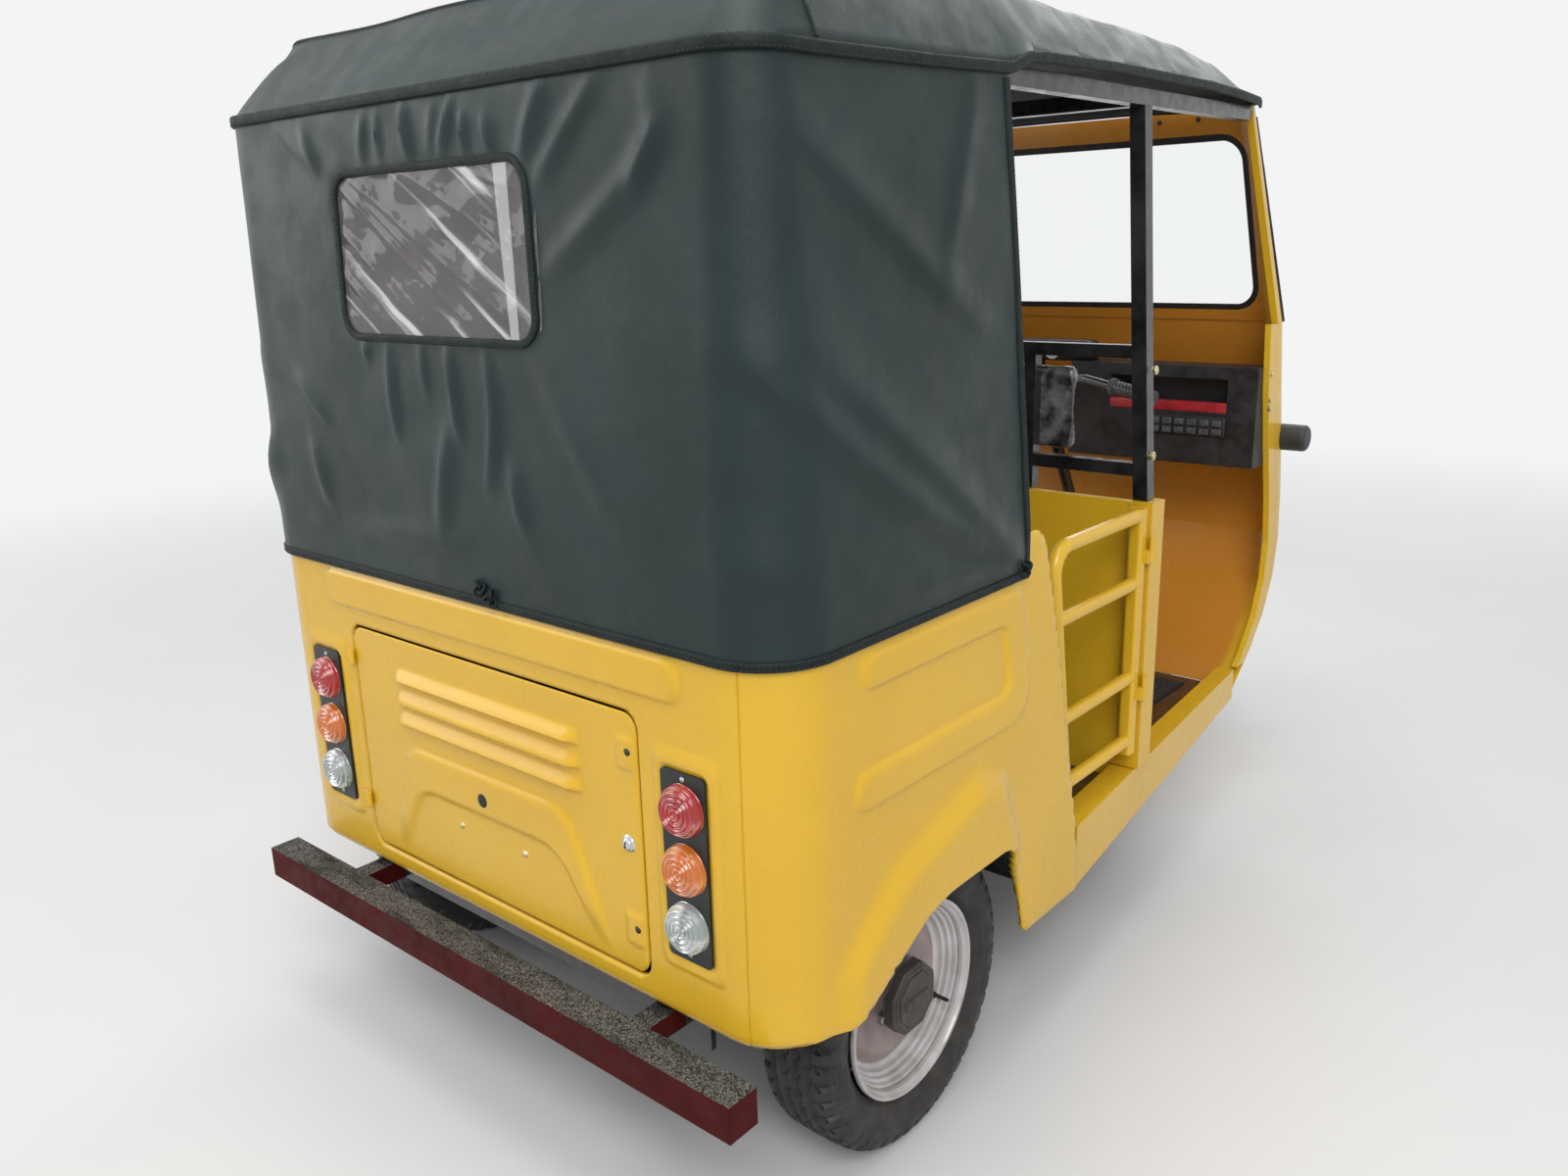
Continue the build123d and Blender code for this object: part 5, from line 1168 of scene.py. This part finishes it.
hood_reach = hood_bottom_half - hood_bottom_corner + hood_bottom_corner * pi / 2
hood_reach += hood_bottom_rear - hood_bottom_corner - hood_front_low
columns = np.linspace(-hood_reach, hood_reach, 2 * int(hood_reach / hood_cell) + 1)
rows = np.linspace(hood_hem, hood_seam + hood_seam_rise, int((hood_seam - hood_hem) / hood_cell) + 1)
s, z = np.meshgrid(columns, rows, indexing="ij")
up = np.clip((z - hood_shoulder) / (hood_seam - hood_shoulder), 0, 1)
lean = up ** 1.2
half = hood_bottom_half + lean * (hood_top_half - hood_bottom_half)
rear = hood_bottom_rear + lean * (hood_top_rear - hood_bottom_rear)
radius = hood_bottom_corner + lean * (hood_top_corner - hood_bottom_corner)
front = hood_front_low + up * (hood_front_high - hood_front_low)
full = half - radius + radius * pi / 2 + rear - radius - front
x, y, out_x, out_y = wrapped(s / hood_reach * full, half, rear, radius)
raised = sum(fold(s, z, *row) for row in hood_folds)
calm = 1 - 0.85 * np.exp(-(((np.abs(s) - 0.61) / 0.13) ** 2))
raised = fold_gain * raised + calm * unevenness(s, z, (0.42, 0.15), (4, 9))
window_far = beyond(hood_window, s, z)
held = smoothly((z - hood_hem) / 0.05) * smoothly((hood_seam + hood_seam_rise - z) / 0.02)
held = held * smoothly((np.abs(window_far)) / 0.02) * smoothly((hood_reach - np.abs(s)) / 0.03)
raised = raised * (0.12 + 0.88 * held)
side_rise = smoothly((np.abs(s) - 0.62) / 0.3)
z = z - hood_seam_rise * (1 - side_rise) * up
hood_points = np.stack([x + raised * out_x, y + raised * out_y, z], -1)
hood = trimmed("hood", hood_points, -window_far, canvas, hood_cell * 0.1)
thicken(hood, hood_thickness)
fit(hood, "body", "canopy_curtain")

# Hood's bindings: a folded tape sewn over the hem, both front edges and the window's edge with two
# rows of stitches, and short black cords knotted through the hem.
binding = finish("binding", ((0.003, 0.008, 0.008), (0.006, 0.013, 0.012)), (0.5, 0.65), 30,
                 [(1800, 0.0003)], edge=0.0005, Specular_IOR_Level=0.25)
thread = finish("thread", ((0.045, 0.050, 0.052), (0.075, 0.080, 0.082)), (0.5, 0.7), 300)
# Tape section, columns: share of its width, share of its rise
tape_profile = [(-0.5, -0.4), (-0.5, 0.5), (-0.36, 0.95), (0.0, 1.0), (0.36, 0.95), (0.5, 0.5), (0.5, -0.4)]
tape_rise = 0.0032
stitch_pitch, stitch_gap_share = 0.0075, 0.35
stitch_rise, stitch_half = 0.0007, 0.0006
stitch_faces = [(0, 3, 2), (0, 2, 4), (0, 4, 5), (0, 5, 3), (1, 2, 3), (1, 4, 2), (1, 5, 4), (1, 3, 5)]


def over(grid, i, j, hand, lift=0.0):
    """Places over a grid of points at fractional rows and columns, and the way outwards there."""
    out = hand * np.cross(np.gradient(grid, axis=0), np.gradient(grid, axis=1))
    out /= np.maximum(np.linalg.norm(out, axis=-1, keepdims=True), 1e-12)
    i0 = np.clip(np.floor(i).astype(int), 0, grid.shape[0] - 2)
    j0 = np.clip(np.floor(j).astype(int), 0, grid.shape[1] - 2)
    u, v = (i - i0)[:, None], (j - j0)[:, None]

    def mixed(a):
        near = (1 - v) * a[i0, j0] + v * a[i0, j0 + 1]
        return (1 - u) * near + u * ((1 - v) * a[i0 + 1, j0] + v * a[i0 + 1, j0 + 1])

    away = mixed(out)
    away /= np.linalg.norm(away, axis=1, keepdims=True)
    return mixed(grid) + lift * away, away


def on_hood(place, height, lift=0.0):
    """Places over the hood, from the distance along its wall and the height on it."""
    i = (place - columns[0]) / (columns[1] - columns[0])
    j = (height - rows[0]) / (rows[1] - rows[0])
    return over(hood_points, i, j, -1, lift)


def sideways(line, away, closed=False):
    """The direction across a line, in the surface that it lies on."""
    run = np.roll(line, -1, 0) - np.roll(line, 1, 0)
    if not closed:
        run[0], run[-1] = line[1] - line[0], line[-1] - line[-2]
    side = np.cross(run, away)
    return side / np.linalg.norm(side, axis=1, keepdims=True)


def tape(line, away, width, rise, closed=False):
    """Vertices and faces of a rounded tape along a line."""
    side = sideways(line, away, closed)
    rings = np.stack([line + a * width * side + b * rise * away for a, b in tape_profile], 1)
    return rings.reshape(-1, 3), ring_faces(len(line), len(tape_profile), closed)


def stitches(line, away, offset, closed=False):
    """Vertices and faces of a row of stitches beside a line, each a small pointed bar."""
    side = sideways(line, away, closed)
    path = line + offset * side
    if closed:
        path, away, side = (np.concatenate([a, a[:1]]) for a in (path, away, side))
    far = np.concatenate([[0], np.cumsum(np.linalg.norm(np.diff(path, axis=0), axis=1))])
    count = int(far[-1] / stitch_pitch)
    starts = np.arange(count) * stitch_pitch

    def at(values, where):
        return np.stack([np.interp(where, far, values[:, k]) for k in range(3)], 1)

    long = stitch_pitch * (1 - stitch_gap_share)
    first, middle, last = at(path, starts), at(path, starts + long / 2), at(path, starts + long)
    up, wide = stitch_rise * at(away, starts), stitch_half * at(side, starts)
    vertices = np.stack([first, last, middle + up, middle - wide, middle + wide, middle - 0.5 * up], 1)
    faces = (np.array(stitch_faces)[None] + 6 * np.arange(count)[:, None, None]).reshape(-1, 3)
    return vertices.reshape(-1, 3), faces


def knot(centre, size, radius, turn):
    """Vertices and faces of a cord tied in a small knot."""
    t = np.linspace(0, 2 * pi, 72, endpoint=False)
    x, z = np.sin(t) + 2 * np.sin(2 * t), np.cos(t) - 2 * np.cos(2 * t)
    y = -np.sin(3 * t)
    path = np.stack([x * cos(turn) - z * sin(turn), y, x * sin(turn) + z * cos(turn)], 1) * size / 3
    return tube(path * (1, 0.75, 1) + centre, radius, 8, True)


edge_in = 0.0065
hem_steps, edge_steps = 420, 100
hem_s = np.linspace(-hood_reach, hood_reach, hem_steps)
edge_z = np.linspace(hood_hem, hood_seam, edge_steps)
window_line = rectangle(window_left, window_right, window_low, window_high, window_corner + 0.004, 0.004)
window_line = np.concatenate([
    np.linspace(a, b, max(2, int(np.linalg.norm(b - a) / 0.006)), endpoint=False)
    for a, b in zip(window_line, np.roll(window_line, -1, 0))
])
# Tapes, columns: places along them, the way outwards there, width, whether it closes on itself
lines = [
    (*on_hood(hem_s, np.full(hem_steps, hood_hem + edge_in)), 0.014, False),
    (*on_hood(np.full(edge_steps, hood_reach - edge_in), edge_z), 0.014, False),
    (*on_hood(np.full(edge_steps, edge_in - hood_reach), edge_z), 0.014, False),
    (*on_hood(window_line[:, 0], window_line[:, 1]), 0.012, True),
]
tapes = [tape(line, away, width, tape_rise, closed) for line, away, width, closed in lines]
sewn = [
    stitches(line + tape_rise * away, away, hand * 0.0042, closed) for line, away, _, closed in lines
    for hand in (-1, 1)
]
# Knots, columns: place along the wall, height, turn
tie_places = [(-0.041, 0.934, 0.4), (-0.066, 0.921, 1.3), (hood_reach - 0.02, 0.925, 1.2),
              (0.02 - hood_reach, 0.925, 2.0)]
knot_size, cord_radius, knot_lift = 0.013, 0.0027, 0.005
knots = [
    knot(on_hood(np.array([place]), np.array([height]), knot_lift)[0][0], knot_size, cord_radius, turn)
    for place, height, turn in tie_places
]
hood_binding = mesh_piece("hood_binding", *joined(tapes), binding)
crease_by_angle(hood_binding, 60)
hood_stitches = mesh_piece("hood_stitches", *joined(sewn), thread, False)
hood_ties = mesh_piece("hood_ties", *joined(knots), binding)
for piece in (hood_binding, hood_stitches, hood_ties):
    fit(piece, "body")

# Rear window: clear vinyl film sewn behind the hood's opening. It is thin and creased across its
# corners; white streaks across it are painted highlights in its colour, and it is less clear there.
film_cell, film_lap, film_set_back, film_thickness = 0.005, 0.010, 0.0008, 0.0006
film_outline = rectangle(window_left, window_right, window_low, window_high, window_corner, film_lap)
a, b = np.meshgrid(np.arange(-0.226, 0.279, film_cell), np.arange(1.299, 1.565, film_cell), indexing="ij")
film_folds = [
    ([(0.25, 1.53), (-0.05, 1.33)], 0.005, 0.005), ([(0.22, 1.54), (-0.16, 1.33)], 0.004, 0.004),
    ([(0.25, 1.46), (0.05, 1.32)], 0.006, 0.005), ([(0.26, 1.40), (0.15, 1.32)], 0.005, 0.004),
    ([(0.10, 1.55), (-0.20, 1.42)], 0.005, 0.004), ([(-0.02, 1.55), (-0.20, 1.50)], 0.004, 0.003),
    ([(0.18, 1.50), (0.02, 1.40)], 0.004, 0.003),
]
up = np.clip((b - hood_shoulder) / (hood_seam - hood_shoulder), 0, 1)
back = hood_bottom_rear + up ** 1.2 * (hood_top_rear - hood_bottom_rear) - film_set_back
film_edge = beyond(film_outline, a, b)
raised = sum(fold(a, b, *row) for row in film_folds) + 0.0015 * ripple(a, b, 0.08, 2)
raised = raised * smoothly((-film_edge - 0.01) / 0.02) - 0.0012
film_clear = finish("film_clear", ((0.19, 0.175, 0.175), (0.23, 0.215, 0.21)), (0.03, 0.10), 12,
                    [(22, 0.003)], edge=0.0003, Alpha=0.3)
tree, inputs, clear_tone, _ = opened(film_clear)
# Painted highlights: white streaks mixed into the film's colour along its creases, where it is also less
# clear.
glint_stretch = add(tree, "Mapping", {"Vector": resting_place(tree), "Rotation": (0, radians(-34), 0),
                                "Scale": (0.6, 1, 0.03)}, vector_type="TEXTURE")
wander = add(tree, "TexNoise", {"Vector": glint_stretch.outputs["Vector"], "Scale": 1.1, "Detail": 3.0})
painted_glint = spread(tree, wander.outputs["Fac"], 0, 1, 0.57, 0.72)
tree.links.new(blend_colour(tree, painted_glint, clear_tone, (0.80, 0.82, 0.80, 1)), inputs["Base Color"])
tree.links.new(spread(tree, painted_glint, 0.42, 0.68, 0, 1), inputs["Alpha"])
film = trimmed("window_film", np.stack([a, back + raised, b], -1), film_edge, film_clear, film_cell * 0.1)
thicken(film, film_thickness)
fit(film, "body", "rear_window")

# Roof: a sheet of the same canvas drawn over the roof frame, sloping down at the back and sides to
# the seam, its side edges free ahead of the hood.
roof_cell, roof_reach = 0.009, 0.612
roof_rear, roof_front = 1.2675, -0.479
roof_corner = 0.080
side_band, rear_band = 0.066, 0.131
# Along the roof, columns: y, half width, height of side hem, height of shoulder, height of crown
roof_line = np.array([
    (-0.479, 0.530, 1.692, 1.694, 1.696), (-0.44, 0.541, 1.695, 1.718, 1.730),
    (-0.30, 0.552, 1.699, 1.768, 1.788), (-0.12, 0.560, 1.701, 1.782, 1.803),
    (0.30, 0.578, 1.695, 1.786, 1.811), (0.58, 0.592, 1.685, 1.788, 1.813),
    (0.64, 0.597, 1.680, 1.788, 1.813), (0.70, 0.601, 1.660, 1.788, 1.812),
    (0.90, 0.602, 1.652, 1.786, 1.811), (1.14, 0.603, 1.645, 1.782, 1.808),
    (1.2675, 0.603, 1.645, 1.780, 1.806),
])
roof_bows, bow_sag = [1.173, 0.68, 0.11, -0.44], 0.006
roof_seam_y = 1.14


def on_roof_line(y, column):
    """A column of the roof's line at a place along it."""
    return np.interp(y, roof_line[:, 0], roof_line[:, column])


a, b = np.meshgrid(np.arange(-roof_reach, roof_reach + 0.0005, roof_cell),
                   np.arange(roof_front, roof_rear + roof_cell, roof_cell), indexing="ij")
width, hem, shoulder, crown = (on_roof_line(b, column) for column in range(1, 5))
rear_share = (roof_rear - b) / rear_band
past_side, past_rear = np.abs(a) - (width - roof_corner), b - (roof_rear - roof_corner)
inside = roof_corner - np.hypot(np.maximum(past_side, 0), np.maximum(past_rear, 0))
inside -= np.minimum(np.maximum(past_side, past_rear), 0)
off_top = np.hypot(np.maximum(np.abs(a) - width + side_band, 0), np.maximum(b - roof_rear + rear_band, 0))
share = inside / np.maximum(np.abs(inside) + off_top, 1e-9)
bow = np.minimum.reduce([np.abs(b - place) for place in roof_bows])
arch = 1 - (np.abs(a) / (width - side_band)).clip(0, 1) ** 2.2
z = hem + np.clip(share, 0, 1) ** 0.88 * (shoulder - hem)
z += (crown - shoulder) * arch * smoothly(rear_share - 0.9) - bow_sag * smoothly(bow / 0.2) * smoothly(share)
z += unevenness(a, b, (0.40, 0.16), (5, 8)) * smoothly(share * 2)
z -= 0.0018 * np.exp(-(((share - 1) / 0.03) ** 2))
roof_points = np.stack([a, b, z], -1)
roof = trimmed("roof", roof_points, -inside, canvas, roof_cell * 0.08)
thicken(roof, hood_thickness)
fit(roof, "body", "canopy_roof")

# Roof's bindings: tape sewn over its edge, where the hood hangs from it, and over the front edge,
# and one seam across the roof where its rear panel is joined.
side_steps, back_steps, across_steps = 190, 80, 160
side_y = np.linspace(roof_front + 0.004, roof_rear - roof_corner, side_steps)
half_back = on_roof_line(roof_rear, 1)
bend = np.linspace(0, pi / 2, 24)[1:-1]
half_line = np.concatenate([
    np.stack([on_roof_line(side_y, 1), side_y], 1),
    np.stack([half_back - roof_corner + roof_corner * np.cos(bend),
              roof_rear - roof_corner + roof_corner * np.sin(bend)], 1),
    np.stack([np.linspace(half_back - roof_corner, 0, back_steps), np.full(back_steps, roof_rear)], 1),
])
run = np.gradient(half_line, axis=0)
away = np.stack([run[:, 1], -run[:, 0], 0 * run[:, 0]], 1)
away /= np.linalg.norm(away, axis=1, keepdims=True)
line = np.column_stack([half_line, on_roof_line(half_line[:, 1], 2) - 0.001])
line, away = (np.concatenate([half, half[-2::-1] * (-1, 1, 1)]) for half in (line, away))
front_i = np.linspace(0, len(roof_points) - 1, across_steps)
front_row = over(roof_points, front_i, np.zeros(across_steps), 1)
within = np.abs(front_row[0][:, 0]) < roof_line[0, 1] - 0.004
front_row = [part[within] for part in front_row]
seam_i = (np.linspace(-half_back + 0.004, half_back - 0.004, across_steps) + roof_reach) / roof_cell
seam_j = np.full(across_steps, (roof_seam_y - roof_front) / roof_cell)
seam, seam_away = over(roof_points, seam_i, seam_j, 1)
roof_tapes = [tape(line + 0.0008 * away, away, 0.017, 0.004), tape(*front_row, 0.014, 0.003),
              tape(seam, seam_away, 0.006, 0.0022)]
roof_binding = mesh_piece("roof_binding", *joined(roof_tapes), binding)
crease_by_angle(roof_binding, 60)
sewn = [stitches(line + 0.0046 * away, away, hand * 0.0052) for hand in (-1, 1)]
sewn += [stitches(seam + 0.0004 * seam_away, seam_away, hand * 0.0055) for hand in (-1, 1)]
roof_stitches = mesh_piece("roof_stitches", *joined(sewn), thread, False)
for piece in (roof_binding, roof_stitches):
    fit(piece, "body")

# Studio: a pale floor that fades into a pale world, with a broad soft light over the rear right
# corner, weaker ones that fill the left side and the front, and one above that shows the roof.
half_floor = 30
floor_tone = (0.70, 0.695, 0.69)
floor_fade = (2.6, 7.0)
backdrop = (0.90, 0.905, 0.91, 1)
sky_tone, sky_strength = (0.80, 0.82, 0.85, 1), 0.62
# Lamps, columns: name, place, side in metres, power in watts
light_rows = [
    ("key", (-4.2, 4.6, 5.2), 3.2, 262),
    ("fill", (5.0, 3.5, 3.4), 3.6, 90),
    ("rim", (1.0, -5.0, 4.6), 3.0, 80),
    ("top", (-0.6, 1.6, 5.4), 2.6, 90),
]
aim = Vector((0, 0.2, 0.8))
ground = mesh_piece(
    "studio_floor", [(a * half_floor, b * half_floor, 0) for a, b in ((-1, -1), (1, -1), (1, 1), (-1, 1))],
    [(0, 1, 2, 3)],
    finish("studio_floor", (floor_tone, [1.04 * tone for tone in floor_tone]), (0.55, 0.7), 0.8), False,
)


def seen(tree):
    """One for rays from the camera, off gloss and through glass, which show the backdrop."""
    rays = add(tree, "LightPath").outputs
    seen_glossy = times(tree, rays["Is Camera Ray"], rays["Is Glossy Ray"], "MAXIMUM")
    return times(tree, seen_glossy, rays["Is Transmission Ray"], "MAXIMUM")


tree = ground.data.materials[0].node_tree
far = add(tree, "VectorMath", {0: resting_place(tree)}, operation="LENGTH").outputs["Value"]
fade = times(tree, spread(tree, far, 0, 1, *floor_fade), seen(tree))
white = add(tree, "Emission", {"Color": backdrop})
mixed = add(tree, "MixShader", {0: fade, 1: tree.nodes["Principled BSDF"].outputs[0], 2: white.outputs[0]})
tree.links.new(mixed.outputs[0], tree.nodes["Material Output"].inputs["Surface"])
for name, place, size, power in light_rows:
    light = bpy.data.objects.new(name, bpy.data.lights.new(name, "AREA"))
    bpy.context.scene.collection.objects.link(light)
    light.data.size, light.data.energy = size, power
    light.location = place
    light.rotation_mode = "QUATERNION"
    light.rotation_quaternion = (aim - Vector(place)).to_track_quat("-Z", "Y")
world = bpy.data.worlds.new("studio")
bpy.context.scene.world = world
world.use_nodes = True
tree = world.node_tree
light_sky = tree.nodes["Background"]
light_sky.inputs["Color"].default_value = sky_tone
light_sky.inputs["Strength"].default_value = sky_strength
shown_sky = add(tree, "Background", {"Color": backdrop, "Strength": 1.0})
mixed = add(tree, "MixShader", {0: seen(tree), 1: light_sky.outputs[0], 2: shown_sky.outputs[0]})
tree.links.new(mixed.outputs[0], tree.nodes["World Output"].inputs["Surface"])
bpy.context.scene.view_settings.view_transform = "Standard"
